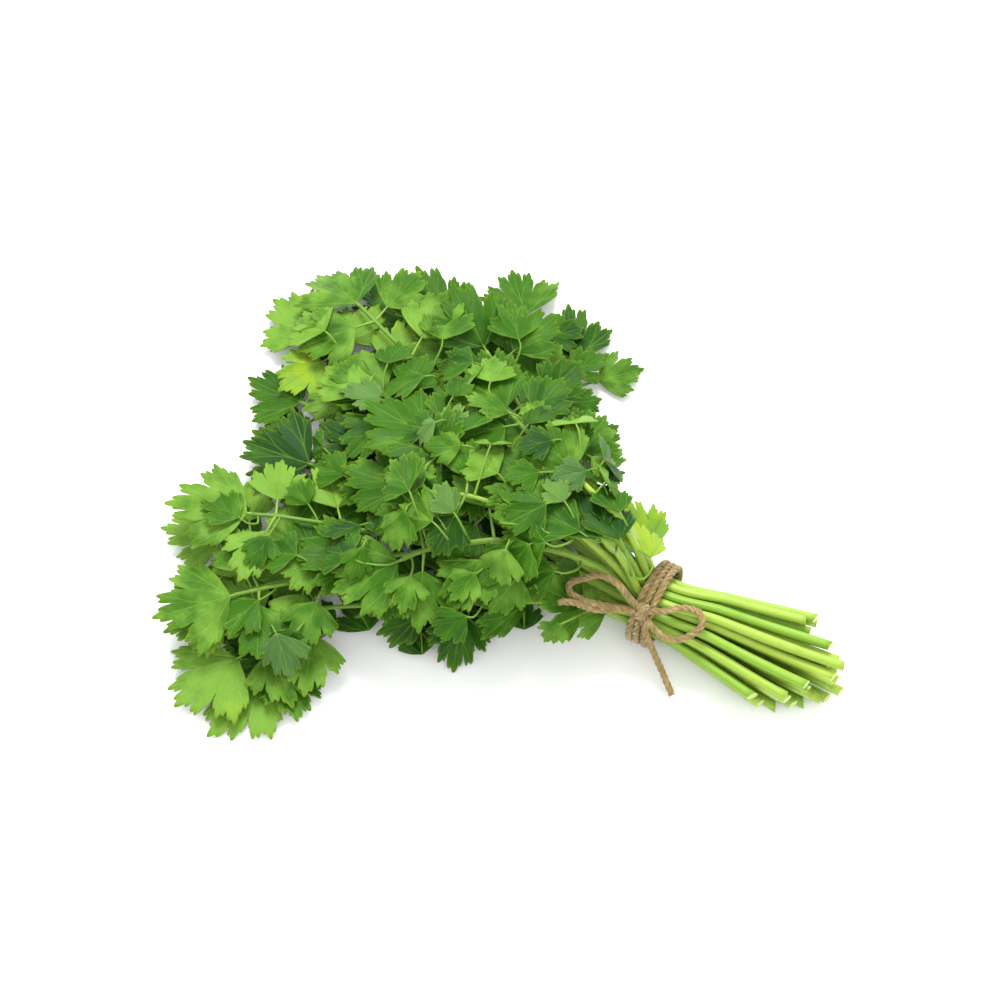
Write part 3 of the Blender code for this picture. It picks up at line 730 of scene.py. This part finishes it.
def stalk_mesh(shop, line, name, tone, share):
    """A leaflet's own little stalk, which gets thinner along the line."""
    radii = np.linspace(STALK_RADIUS * share, STALK_RADIUS * 0.55, len(line))
    mesh = shop.bend(name, tube_points(line, radii, STALK_SIDES))
    dress(mesh, tone, 0.16)
    finish_all(weld(mesh), "stem_skin")
    return new_object(name, mesh)


def camera_frame():
    """The camera's right, up and back directions, and the place that it looks at."""
    elevation, azimuth = math.radians(CAMERA_ELEVATION), math.radians(CAMERA_AZIMUTH)
    back = Vector((
        math.sin(azimuth) * math.cos(elevation),
        -math.cos(azimuth) * math.cos(elevation),
        math.sin(elevation),
    ))
    right = Vector((math.cos(azimuth), math.sin(azimuth), 0))
    up = back.cross(right)
    return right, up, back, Vector((0, 0, 0.016)) + right * CAMERA_ACROSS + up * CAMERA_UP


def picture_point(across, down):
    """The place in the plane through the camera's target that a pixel of the picture shows."""
    right, up, _, target = camera_frame()
    sideways, upwards = across / PICTURE_SIDE - 0.5, 0.5 - down / PICTURE_SIDE
    return target + right * sideways * FRAME_WIDTH + up * upwards * FRAME_WIDTH


def seen_at(pile, across, down):
    """The place on the pile that a pixel of the picture shows."""
    back = camera_frame()[2]
    for step in np.arange(VIEW_REACH, -VIEW_REACH, -0.0005):
        point = picture_point(across, down) + back * step
        if point.z <= pile.under([point], 0)[0] + 0.0002:
            break
    return point


def rest_on(leaflet, pile, low, draw):
    """Leans a leaflet as what lies below it leans, and raises it until it rests there."""
    flat = np.array(leaflet.samples((0.15, 0.45, 0.75, 1.0)))
    leaflet.tilt, leaflet.roll = 0.0, 0.0
    below = pile.under(leaflet.place(flat))
    slope = np.linalg.lstsq(np.column_stack([flat, np.ones(len(flat))]), below, rcond=None)[0]
    leaflet.tilt = min(max(math.degrees(math.atan(slope[0])), -40), 44) + draw.uniform(-14, 3)
    leaflet.roll = min(max(math.degrees(math.atan(slope[1])), -35), 35) + draw.uniform(-9, 9)
    blade = leaflet.place(flat)
    share = LOW_SHARE if low else HIGH_SHARE
    rise = np.percentile(pile.under(blade) - blade[:, 2], share) + SMALL_CLEARANCE
    leaflet.root[2] += rise
    blade[:, 2] += rise
    return blade


def below_twine(blade, twine):
    """Whether the blade passes under each strand that it meets."""
    heights = twine.under(blade, 0)
    return not ((heights > 0) & (blade[:, 2] > heights - 0.0004)).any()


def small_leaf(stems, pile, twine, foot, heading, length, low, draw):
    """A small leaflet that lies on top of the pile, and its stalk from the stem nearest to its foot.

    Nothing is laid over the twine."""
    teeth = 3 if length < 0.021 else 4
    spread = draw.uniform(50, 62)
    leaflet = Leaflet(0.0, (foot[0], foot[1], 0.0), heading, 0.001, length, spread, teeth, draw)
    blade = rest_on(leaflet, pile, low, draw)
    over_edge = not low and pile.under(blade, 0).min() < 0.005
    if over_edge or blade[:, 2].max() > HIGHEST or not below_twine(blade, twine):
        return None, None, None
    pile.cover(blade, 0.0)
    top = leaflet.place([(0.0005, 0.0)])[0]
    outward = np.array((math.cos(heading), math.sin(heading), 0))
    behind = top - 0.008 * (outward + np.array((0, 0, 0.7)))
    owner, place = None, None
    for stem in stems:
        free = stem.line[(stem.along > 0.008) & ((stem.line - top) @ outward < -0.003)]
        if len(free):
            found = free[np.linalg.norm(free - behind, axis=1).argmin()]
            if owner is None or np.linalg.norm(found - behind) < np.linalg.norm(place - behind):
                owner, place = stem, found
    if owner is None:
        return None, None, None
    middle = (behind + place) / 2 + np.array((0, 0, 0.001))
    back = top - 0.004 * (outward + np.array((0, 0, 0.25)))
    return owner, leaflet, curve_through([Vector(p) for p in (place, middle, back, top)], 12)


def add_small_leaves(stems, pile, strands):
    """Small leaflets at listed places, and others between them, kept with the stems they grow from."""
    draw = random.Random(2024)
    twine = Pile()
    for line in strands:
        twine.cover(line, 0.0, 2)
    wanted = []
    for foot_across, foot_down, tip_across, tip_down, length, tone in SMALL_LEAVES:
        foot = seen_at(pile, foot_across, foot_down)
        ahead = picture_point(tip_across, tip_down) - picture_point(foot_across, foot_down)
        ahead -= camera_frame()[2] * (ahead.z / camera_frame()[2].z)
        wanted.append((foot, math.atan2(ahead.y, ahead.x), length / 1000, tone, True))
    for stem in stems:
        stem.small = []
        for along in np.arange(SMALL_LEAVES_FROM, stem.foot - 0.010, SMALL_LEAF_STEP):
            if draw.random() < SMALL_LEAF_SHARE[stem.row]:
                place, heading = stem.at(along + draw.uniform(-0.005, 0.005))
                heading += draw.choice((-1, 1)) * draw.uniform(0.5, 1.7)
                away = draw.uniform(0.003, 0.010)
                foot = (place[0] + away * math.cos(heading), place[1] + away * math.sin(heading))
                wanted.append((foot, heading, draw.uniform(0.011, 0.019), draw.uniform(0.10, 0.62), False))
    for foot, heading, length, tone, low in wanted:
        owner, leaflet, stalk = small_leaf(stems, pile, twine, foot, heading, length, low, draw)
        if owner:
            owner.small.append((leaflet, stalk, tone, not low and draw.random() < TURNED_SHARE))


def add_lowest_leaves(stems, pile):
    """Leaflets that lie below all the others, so that the surface isn't seen through the head."""
    draw = random.Random(77)
    lowest = [stem for stem in stems if stem.row < 2]
    for x in np.arange(*LOWEST_ALONG, LOWEST_STEP):
        for y in np.arange(*LOWEST_ACROSS, LOWEST_STEP):
            foot = (x + draw.uniform(-0.004, 0.004), y + draw.uniform(-0.004, 0.004))
            heading = math.pi + draw.uniform(-1.2, 1.2)
            length = draw.uniform(0.014, 0.018)
            leaflet = Leaflet(0.0, (*foot, 0.0035), heading, 0.001, length, 60, 3, draw)
            leaflet.tilt, leaflet.roll = draw.uniform(-2, 16), draw.uniform(-7, 7)
            leaflet.curl, leaflet.cup = draw.uniform(0.0, 0.1), draw.uniform(0.0, 0.1)
            blade = leaflet.place(leaflet.samples((0.3, 0.7, 1.0, 1.35, 1.7)))
            if pile.under(blade, 0).min() > 0.006:
                top = leaflet.place([(0.0005, 0.0)])[0]
                nearest = min(lowest, key=lambda stem: np.linalg.norm(stem.line - top, axis=1).min())
                place = nearest.line[np.linalg.norm(nearest.line - top, axis=1).argmin()]
                line = np.linspace(place, top, 8)
                line[:, 2] = np.maximum(line[:, 2], 0.0008)
                # Tones from 0.05 to 0.3 keep these leaflets dark: painted shade for leaflets that lie under
                # all the others.
                nearest.small.append((leaflet, line, draw.uniform(0.05, 0.3), False))


def applied(obj):
    """Makes the modifiers' result the object's own mesh."""
    graph = bpy.context.evaluated_depsgraph_get()
    mesh = bpy.data.meshes.new_from_object(obj.evaluated_get(graph))
    obj.modifiers.clear()
    obj.data = mesh
    return obj


def join_all(pieces, name):
    """One smooth-shaded object of all the pieces."""
    bpy.context.view_layer.update()
    for piece in pieces:
        if piece.modifiers:
            applied(piece)
    deselect_all()
    for piece in pieces:
        piece.select_set(True)
    bpy.context.view_layer.objects.active = pieces[0]
    bpy.ops.object.join()
    joined = bpy.context.object
    joined.name = name
    joined.data.name = name
    joined.data.polygons.foreach_set("use_smooth", [True] * len(joined.data.polygons))
    return joined


def fine_stem(shop, stem):
    """One leafy stem with all its leaflets, as one piece."""
    name = f"coriander_stem_{stem.number:02d}"
    draw = random.Random(stem.number * 31 + 5)
    tone = TONES[stem.row][stem.number - 1 - sum(STEM_ROWS[:stem.row])]
    pieces = [stem_mesh(shop, stem, name + "_stem", draw, draw.uniform(0.0, 1.0))]
    for k, leaflet in enumerate(stem.leaflets):
        leaf_tone = min(max(tone + draw.uniform(-0.14, 0.14), 0.0), 1.0)
        pieces.append(leaf_mesh(shop, leaflet, f"{name}_leaf_{k}", draw, leaf_tone))
        line = leaflet.stalk_line()
        pieces.append(stalk_mesh(shop, line, f"{name}_stalk_{k}", leaf_tone, STALK_SHARES[0]))
    for k, (leaflet, line, leaf_tone, turned) in enumerate(stem.small):
        pieces.append(leaf_mesh(shop, leaflet, f"{name}_small_{k}", draw, leaf_tone, turned))
        pieces.append(stalk_mesh(shop, line, f"{name}_thin_{k}", leaf_tone, STALK_SHARES[1]))
    return join_all(pieces, name)


def ply_lines(line, closed):
    """The three plies of a twine that runs along the line."""
    line = np.asarray(line, float)
    ahead, side, up = frames_along(line)
    if closed:
        side = np.repeat([(1.0, 0.0, 0.0)], len(line), 0)
        up = np.cross(ahead, side)
    steps = np.linalg.norm(np.diff(line, axis=0), axis=1)
    along = np.concatenate([[0], np.cumsum(steps)])
    turns = along[-1] / TWIST_LENGTH
    if closed:
        turns = round(turns)
    twist = along / along[-1] * turns * 2 * math.pi
    lines = []
    for ply in range(3):
        angle = twist + ply * 2 * math.pi / 3
        lines.append(line + PLY_OFFSET * (np.cos(angle)[:, None] * side + np.sin(angle)[:, None] * up))
    return lines


def twine_pieces(shop, line, name, closed=False):
    """Three plies wound round the line."""
    pieces = []
    for ply, ply_line in enumerate(ply_lines(line, closed)):
        radii = np.full(len(ply_line), PLY_RADIUS)
        radii *= 1 + 0.07 * np.sin(np.arange(len(ply_line)) * 0.9 + ply * 2)
        points = tube_points(ply_line, radii, PLY_SIDES)
        points[:, :, 2] = np.maximum(points[:, :, 2], 0.00005)
        mesh = shop.bend(f"{name}_ply_{ply}", points)
        mesh.materials.append(bpy.data.materials["jute"])
        weld(mesh)
        pieces.append(new_object(f"{name}_ply_{ply}", mesh))
    return pieces


def even(line, step=TWINE_STEP):
    """The same line with its points evenly spaced."""
    line = np.asarray(line, float)
    lengths = np.concatenate([[0], np.cumsum(np.linalg.norm(np.diff(line, axis=0), axis=1))])
    count = max(int(lengths[-1] / step), 4)
    wanted = np.linspace(0, lengths[-1], count + 1)
    return np.stack([np.interp(wanted, lengths, line[:, k]) for k in range(3)], 1)


def fuzz(line, name, draw, count):
    """Loose fibres that stand out of the twine."""
    shell = bmesh.new()
    ahead, side, up = frames_along(line)
    for _ in range(count):
        k = draw.randrange(2, len(line) - 3)
        angle = draw.uniform(0, 2 * math.pi)
        out = math.cos(angle) * side[k] + math.sin(angle) * up[k]
        start = line[k] + out * 0.0011
        lean = ahead[k] * draw.uniform(-1.4, 1.4)
        length = draw.uniform(0.0007, 0.0024)
        curl = np.cross(out, ahead[k]) * draw.uniform(-0.8, 0.8)
        middle = start + (out + 0.6 * lean) * length * 0.5
        end = start + (out + lean + curl) * length
        width = ahead[k] * FIBRE_WIDTH
        rise = np.cross(out, ahead[k]) * FIBRE_WIDTH
        rings = []
        for place, share in ((start, 1.0), (middle, 0.8), (end, 0.3)):
            corners = (width, -width * 0.5 + rise, -width * 0.5 - rise)
            ring = [shell.verts.new(place + corner * share) for corner in corners]
            for vert in ring:
                vert.co.z = max(vert.co.z, FIBRE_WIDTH)
            rings.append(ring)
        for a, b in zip(rings, rings[1:]):
            for i in range(3):
                j = (i + 1) % 3
                shell.faces.new((a[i], a[j], b[j], b[i]))
        shell.faces.new(rings[0][::-1])
        shell.faces.new(rings[-1])
    bmesh.ops.recalc_face_normals(shell, faces=shell.faces)
    mesh = bpy.data.meshes.new(name)
    shell.to_mesh(mesh)
    shell.free()
    mesh.materials.append(bpy.data.materials["jute"])
    return new_object(name, mesh)


def bow_strands(pile):
    """The lines of the bow's loops and tails, with even steps."""
    strands = []
    for places, count in zip(BOW_STRANDS, BOW_STEPS):
        strands.append(even(curve_through(bow_line(places, pile, count), 12 * count)))
    return strands


def fine_twine(shop, strands):
    """The turns round the neck, the bow and its knot, with their loose fibres, as one piece."""
    draw = random.Random(91)
    pieces, lines = [], []
    angles = np.linspace(0, 2 * math.pi, 131)
    for k, x in enumerate(WRAPS):
        lean = 0.0004 * np.sin(angles + k)
        heights = NECK_HEIGHT - BAND_RADIUS * np.cos(angles)
        ring = np.stack([x + lean, BAND_RADIUS * np.sin(angles), heights], 1)
        pieces += twine_pieces(shop, ring, f"turn_{k}", closed=True)
        lines.append(ring)
    for k, line in enumerate(strands):
        pieces += twine_pieces(shop, line, f"strand_{k}")
        lines.append(line)
    knot = np.array(knot_place())
    outward = np.array((0.0, -math.cos(KNOT_ANGLE), math.sin(KNOT_ANGLE)))
    along_band = np.array((0.0, math.sin(KNOT_ANGLE), math.cos(KNOT_ANGLE)))
    turn = np.linspace(0, 2 * math.pi, 40)
    for k, (lean, size) in enumerate(((0.35, 0.0023), (-0.45, 0.0021))):
        over = np.cos(turn)[:, None] * outward * size * 0.9
        aslant = along_band * math.cos(lean) + np.array((math.sin(lean), 0, 0))
        across = np.sin(turn)[:, None] * aslant * size
        ring = knot + outward * 0.0006 + over + across
        pieces += twine_pieces(shop, even(ring, 0.0006), f"knot_{k}")
        lines.append(ring)
    for k, line in enumerate(lines):
        pieces.append(fuzz(even(line), f"fuzz_{k}", draw, int(len(line) * FIBRES_PER_STEP)))
    return join_all(pieces, "jute_bow")


# The finishes

class Graph:
    """Makes the nodes of one material or node group, and links them."""

    def __init__(self, tree):
        self.nodes, self.links = tree.nodes, tree.links

    def put(self, socket, value):
        """Sets a socket to a number or a colour, or links another socket to it."""
        if isinstance(value, bpy.types.NodeSocket):
            self.links.new(value, socket)
        else:
            socket.default_value = value

    def mixed(self, share, a, b):
        """A colour mixed from two."""
        node = self.nodes.new("ShaderNodeMix")
        node.data_type = "RGBA"
        for socket, value in zip((node.inputs["Factor"], node.inputs[6], node.inputs[7]), (share, a, b)):
            self.put(socket, value)
        return node.outputs[2]

    def calc(self, operation, *values):
        """A number worked out from others."""
        node = self.nodes.new("ShaderNodeMath")
        node.operation = operation
        for socket, value in zip(node.inputs, values):
            self.put(socket, value)
        return node.outputs[0]

    def ramp(self, value, low, high, share=1.0):
        """Rises from 0 to its share as the value goes from low to high."""
        node = self.nodes.new("ShaderNodeMapRange")
        node.interpolation_type = "SMOOTHSTEP"
        node.inputs["From Min"].default_value = low
        node.inputs["From Max"].default_value = high
        node.inputs["To Max"].default_value = share
        self.put(node.inputs["Value"], value)
        return node.outputs["Result"]

    def falling(self, value, low, high, share=1.0):
        """Falls from 1 by its share as the value goes from low to high."""
        return self.calc("SUBTRACT", 1.0, self.ramp(value, low, high, share))

    def named(self, name):
        """A number that the mesh holds under a name."""
        node = self.nodes.new("ShaderNodeAttribute")
        node.attribute_name = name
        return node.outputs["Fac"]

    def place(self, kind="Object"):
        return self.nodes.new("ShaderNodeTexCoord").outputs[kind]

    def stretched(self, scale, turn=0.0):
        """The UV map, stretched and turned, for patterns that run along a rolled sheet."""
        node = self.nodes.new("ShaderNodeMapping")
        node.inputs["Scale"].default_value = (*scale, 1)
        node.inputs["Rotation"].default_value = (0, 0, turn)
        self.put(node.inputs["Vector"], self.place("UV"))
        return node.outputs["Vector"]

    def noise(self, scale, detail=3.0, vector=None, roughness=0.5):
        node = self.nodes.new("ShaderNodeTexNoise")
        for name, value in (("Scale", scale), ("Detail", detail), ("Roughness", roughness)):
            node.inputs[name].default_value = value
        self.put(node.inputs["Vector"], self.place() if vector is None else vector)
        return node.outputs["Fac"]

    def bump(self, height, strength, distance):
        node = self.nodes.new("ShaderNodeBump")
        node.inputs["Strength"].default_value = strength
        node.inputs["Distance"].default_value = distance
        self.put(node.inputs["Height"], height)
        return node.outputs["Normal"]


def new_finish(name, roughness, specular):
    """A material's graph and its shader."""
    material = bpy.data.materials.new(name)
    material.use_nodes = True
    shader = material.node_tree.nodes["Principled BSDF"]
    shader.inputs["Roughness"].default_value = roughness
    shader.inputs["Specular IOR Level"].default_value = specular
    return Graph(material.node_tree), shader


def let_light_in(shader, weight, radius, scale):
    """Lets light scatter a little under the skin."""
    for name, value in (("Weight", weight), ("Radius", radius), ("Scale", scale)):
        shader.inputs["Subsurface " + name].default_value = value


def vein_group():
    """Palmate veins from the blade's UV map: teeth across it, and the share of its radius."""
    group = bpy.data.node_groups.new("leaf_veins", "ShaderNodeTree")
    for name in ("Veins", "Creases"):
        group.interface.new_socket(name, in_out="OUTPUT", socket_type="NodeSocketFloat")
    graph = Graph(group)
    calc, ramp, falling = graph.calc, graph.ramp, graph.falling
    parts = graph.nodes.new("ShaderNodeSeparateXYZ")
    graph.put(parts.inputs[0], graph.nodes.new("ShaderNodeUVMap").outputs["UV"])
    across, out = parts.outputs["X"], parts.outputs["Y"]
    lobe = calc("ROUND", calc("DIVIDE", across, float(LOBE_TEETH)))
    from_rib = calc("ABSOLUTE", calc("SUBTRACT", across, calc("MULTIPLY", lobe, float(LOBE_TEETH))))
    rib = falling(calc("MULTIPLY", from_rib, out), 0.008, 0.055)
    from_branch = calc("ABSOLUTE", calc("SUBTRACT", from_rib, ramp(out, 0.10, 0.85)))
    branch = falling(calc("MULTIPLY", from_branch, out), 0.006, 0.050)
    twig_side = calc("ABSOLUTE", calc("SUBTRACT", from_rib, 0.5))
    from_twig = calc("ABSOLUTE", calc("SUBTRACT", twig_side, ramp(out, 0.45, 1.1, 0.30)))
    twig = falling(calc("MULTIPLY", from_twig, out), 0.004, 0.045)
    twig = calc("MULTIPLY", twig, ramp(out, 0.40, 0.55, 0.35))
    veins = calc("MAXIMUM", rib, calc("MAXIMUM", calc("MULTIPLY", branch, 0.65), twig))
    output = graph.nodes.new("NodeGroupOutput")
    graph.put(output.inputs["Veins"], calc("MULTIPLY", veins, falling(out, 0.35, 1.0, 0.6)))
    graph.put(output.inputs["Creases"], veins)
    return group


def leaf_finish(name, colours, vein_colour, vein_share, roughness, veins):
    """colours: dark, middle, light and yellow."""
    graph, shader = new_finish(name, roughness, 0.11)
    calc, ramp, mixed = graph.calc, graph.ramp, graph.mixed
    mottle, patch, fine = graph.noise(130, 4.0), graph.noise(45, 2.0), graph.noise(1500, 2.0)
    cells = graph.nodes.new("ShaderNodeTexVoronoi")
    cells.feature = "DISTANCE_TO_EDGE"
    cells.inputs["Scale"].default_value = 620
    graph.put(cells.inputs["Vector"], graph.place())
    tone = graph.named("tone")
    for pattern in (mottle, patch):
        tone = calc("ADD", tone, calc("MULTIPLY", calc("SUBTRACT", pattern, 0.5), 0.60))
    dark, middle, light, yellow = colours
    colour = mixed(ramp(tone, 0.05, 0.40), dark, middle)
    colour = mixed(ramp(tone, 0.40, 0.75), colour, light)
    colour = mixed(ramp(tone, 0.80, 1.05), colour, yellow)
    group = graph.nodes.new("ShaderNodeGroup")
    group.node_tree = veins
    colour = mixed(calc("MULTIPLY", group.outputs["Veins"], vein_share), colour, vein_colour)
    colour = mixed(ramp(graph.named("rim"), 0.90, 1.0, 0.22), colour, yellow)
    graph.put(shader.inputs["Base Color"], colour)
    rough = calc("ADD", roughness - 0.08, calc("MULTIPLY", mottle, 0.18))
    graph.put(shader.inputs["Roughness"], rough)
    height = calc("ADD", calc("MULTIPLY", fine, 0.25), calc("MULTIPLY", mottle, 0.8))
    height = calc("ADD", height, ramp(cells.outputs["Distance"], 0.0, 0.25, 0.12))
    height = calc("SUBTRACT", height, calc("MULTIPLY", group.outputs["Creases"], 0.65))
    graph.put(shader.inputs["Normal"], graph.bump(height, 0.6, 0.0004))
    let_light_in(shader, 0.15, (0.6, 1.0, 0.1), 0.0008)


def stem_finish():
    """Pale towards the cut end and greener in the head, with fine streaks along the stem."""
    graph, shader = new_finish("stem_skin", 0.38, 0.25)
    ramp, mixed = graph.ramp, graph.mixed
    along, tone = graph.named("along"), graph.named("tone")
    streak = graph.noise(1.0, 3.0, graph.stretched((34, 3.0)))
    pale = mixed(tone, (0.150, 0.300, 0.018, 1), (0.380, 0.500, 0.070, 1))
    green = mixed(tone, (0.050, 0.150, 0.008, 1), (0.135, 0.270, 0.022, 1))
    colour = mixed(ramp(along, 0.050, 0.170), pale, green)
    colour = mixed(ramp(streak, 0.40, 0.70, 0.35), colour, (0.45, 0.58, 0.12, 1))
    colour = mixed(ramp(graph.noise(120, 3.0), 0.52, 0.75, 0.30), colour, (0.12, 0.28, 0.01, 1))
    cut = graph.calc("SUBTRACT", 0.75, ramp(along, -0.0011, 0.0004, 0.75))
    colour = mixed(cut, colour, (0.52, 0.62, 0.24, 1))
    graph.put(shader.inputs["Base Color"], colour)
    graph.put(shader.inputs["Normal"], graph.bump(streak, 0.35, 0.0003))
    let_light_in(shader, 0.25, (0.8, 1.0, 0.25), 0.0015)


def jute_finish():
    """Coarse fibres that run aslant along each ply, with pale patches of painted highlight."""
    graph, shader = new_finish("jute", 0.88, 0.2)
    fibre = graph.noise(1.0, 4.0, graph.stretched((26, 8.0), 0.35), 0.7)
    colour = graph.mixed(graph.ramp(fibre, 0.30, 0.70), (0.110, 0.066, 0.017, 1), (0.390, 0.270, 0.090, 1))
    # Pale patches, spread by noise, in the colour of light falling on the twine: painted highlight.
    painted_highlight_patch = graph.ramp(graph.noise(420, 3.0), 0.45, 0.72, 0.5)
    graph.put(shader.inputs["Base Color"], graph.mixed(painted_highlight_patch, colour, (0.52, 0.40, 0.17, 1)))
    graph.put(shader.inputs["Normal"], graph.bump(fibre, 0.9, 0.0003))
    shader.inputs["Sheen Weight"].default_value = 0.3


# Leaf colours: dark, middle, light and yellow
TOP_GREENS = (
    (0.008, 0.045, 0.003, 1), (0.027, 0.100, 0.002, 1), (0.122, 0.250, 0.026, 1), (0.210, 0.320, 0.012, 1),
)
UNDER_GREENS = (
    (0.044, 0.112, 0.026, 1), (0.076, 0.165, 0.032, 1), (0.140, 0.250, 0.048, 1), (0.220, 0.320, 0.045, 1),
)

# Small leaflets, listed one by one. Each row has the leaflet's foot and tip as pixels across and down
# the picture, its length in millimetres and its tone
SMALL_LEAVES = (
    (641, 592, 618, 574, 11, 0.70),
    (636, 604, 618, 590, 9, 0.66),
    (600, 553, 556, 494, 29, 0.14),
    (590, 556, 540, 552, 24, 0.22),
    (618, 552, 592, 500, 24, 0.20),
    (628, 574, 604, 560, 12, 0.55),
    (630, 564, 600, 546, 14, 0.28),
    (626, 556, 590, 520, 18, 0.34),
    (604, 556, 566, 540, 18, 0.24),
    (590, 560, 552, 560, 15, 0.30),
    (620, 566, 590, 552, 12, 0.26),
    (606, 574, 580, 566, 10, 0.34),
    (618, 515, 594, 474, 18, 0.36),
    (602, 490, 584, 452, 17, 0.40),
    (556, 584, 510, 580, 20, 0.40),
    (580, 540, 545, 520, 20, 0.24),
    (546, 560, 500, 548, 20, 0.30),
    (560, 626, 536, 640, 12, 0.50),
    (520, 612, 486, 634, 16, 0.42),
    (540, 530, 500, 480, 24, 0.52),
    (560, 592, 518, 598, 18, 0.42),
    (607, 622, 566, 634, 16, 0.60),
    (478, 572, 446, 598, 15, 0.62),
    (588, 462, 620, 482, 18, 0.72),
    (500, 478, 464, 442, 20, 0.60),
    (440, 518, 410, 484, 18, 0.66),
    (575, 430, 560, 392, 16, 0.70),
    (470, 610, 430, 622, 16, 0.28),
    (550, 575, 520, 560, 16, 0.30),
    (530, 545, 500, 565, 15, 0.36),
    (322, 450, 300, 430, 14, 0.30),
    (430, 432, 410, 420, 14, 0.28),
    (345, 480, 318, 462, 16, 0.34),
    (360, 395, 325, 360, 20, 0.72),
    (320, 330, 270, 290, 22, 0.70),
    (440, 340, 448, 300, 18, 0.48),
    (520, 340, 505, 262, 18, 0.40),
    (470, 390, 452, 350, 17, 0.46),
    (300, 560, 262, 545, 18, 0.34),
    (262, 600, 232, 622, 18, 0.46),
    (240, 520, 205, 500, 18, 0.40),
    (648, 575, 630, 512, 22, 1.00),
    (300, 630, 276, 662, 17, 0.40),
)
SMALL_LEAF_SHARE = (0.25, 0.35, 0.45, 0.50, 0.60, 0.55, 0.50)  # of the places in each row
SMALL_LEAVES_FROM = 0.034  # from the tie
SMALL_LEAF_STEP = 0.017  # along a stem
SMALL_CLEARANCE = 0.0007
LOW_SHARE = 45  # percent of a blade that lies over what is below it, for the listed leaflets
HIGH_SHARE = 72
HIGHEST = 0.0660
TURNED_SHARE = 0.12  # of the small leaflets that weren't placed by hand
LOWEST_STEP = 0.013  # between the leaflets that lie on the surface
LOWEST_ALONG = (-0.168, -0.012)
LOWEST_ACROSS = (-0.094, 0.096)

# How yellow each frond is, row by row: 0 is dark and bluish, 1 is light and yellowish
TONES = (
    (0.62, 0.36, 0.35),
    (0.66, 0.72, 0.30, 0.62, 0.40),
    (0.26, 0.76, 0.20, 0.80, 0.42, 0.40),
    (0.30, 0.46, 0.66, 0.22, 0.62, 0.36, 0.36),
    (0.40, 0.38, 0.30, 0.42, 0.45, 0.92),
    (0.38, 0.28, 0.40, 0.34, 0.48),
    (0.22, 0.34, 0.40),
)


def set_the_scene():
    """A plain white floor under soft light."""
    bpy.ops.mesh.primitive_plane_add(size=6)
    floor = bpy.context.object
    floor.name = "floor"
    _, shader = new_finish("floor_white", 0.75, 0.1)
    shader.inputs["Base Color"].default_value = (0.93, 0.93, 0.93, 1)
    floor.data.materials.append(bpy.data.materials["floor_white"])
    world = bpy.data.worlds.new("studio")
    bpy.context.scene.world = world
    world.use_nodes = True
    background = world.node_tree.nodes["Background"]
    background.inputs["Color"].default_value = (1, 1, 1, 1)
    background.inputs["Strength"].default_value = 1.30
    lamp("key", (-0.45, 0.60, 1.30), 0.7, 27)
    lamp("fill", (0.7, -0.8, 1.5), 1.4, 9)


def lamp(name, place, size, power):
    light = bpy.data.lights.new(name, "AREA")
    light.shape = "DISK"
    light.size = size
    light.energy = power
    obj = bpy.data.objects.new(name, light)
    bpy.context.scene.collection.objects.link(obj)
    obj.location = place
    aim = Vector((-0.05, 0, 0.02)) - Vector(place)
    obj.rotation_euler = aim.to_track_quat("-Z", "Y").to_euler()


def set_the_camera():
    right, up, back, target = camera_frame()
    camera = bpy.data.cameras.new("camera")
    camera.lens = CAMERA_LENS
    camera.sensor_width = SENSOR
    camera.clip_start, camera.clip_end = 0.05, 20
    obj = bpy.data.objects.new("camera", camera)
    bpy.context.scene.collection.objects.link(obj)
    placed = Matrix((right, up, back)).transposed().to_4x4()
    placed.translation = target + back * (FRAME_WIDTH * CAMERA_LENS / SENSOR)
    obj.matrix_world = placed
    bpy.context.scene.camera = obj


def main():
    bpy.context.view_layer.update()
    veins = vein_group()
    leaf_finish("leaf_top", TOP_GREENS, (0.190, 0.330, 0.040, 1), 0.34, 0.50, veins)
    leaf_finish("leaf_under", UNDER_GREENS, (0.210, 0.310, 0.080, 1), 0.45, 0.62, veins)
    stem_finish()
    jute_finish()
    set_the_camera()
    set_the_scene()
    bpy.context.scene.view_settings.view_transform = "Standard"
    stems, pile = lay_bunch()
    shop = Workshop()
    strands = bow_strands(pile)
    bow = fine_twine(shop, strands)
    add_small_leaves(stems, pile, strands)
    add_lowest_leaves(stems, pile)
    for stem in stems:
        piece = fine_stem(shop, stem)
        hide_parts(f"leafy_stem_{stem.number:02d}")
        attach(piece, "root")
    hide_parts("twine_tie")
    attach(bow, "root")
    shop.tidy()
    deselect_all()
    bpy.context.view_layer.update()


main()
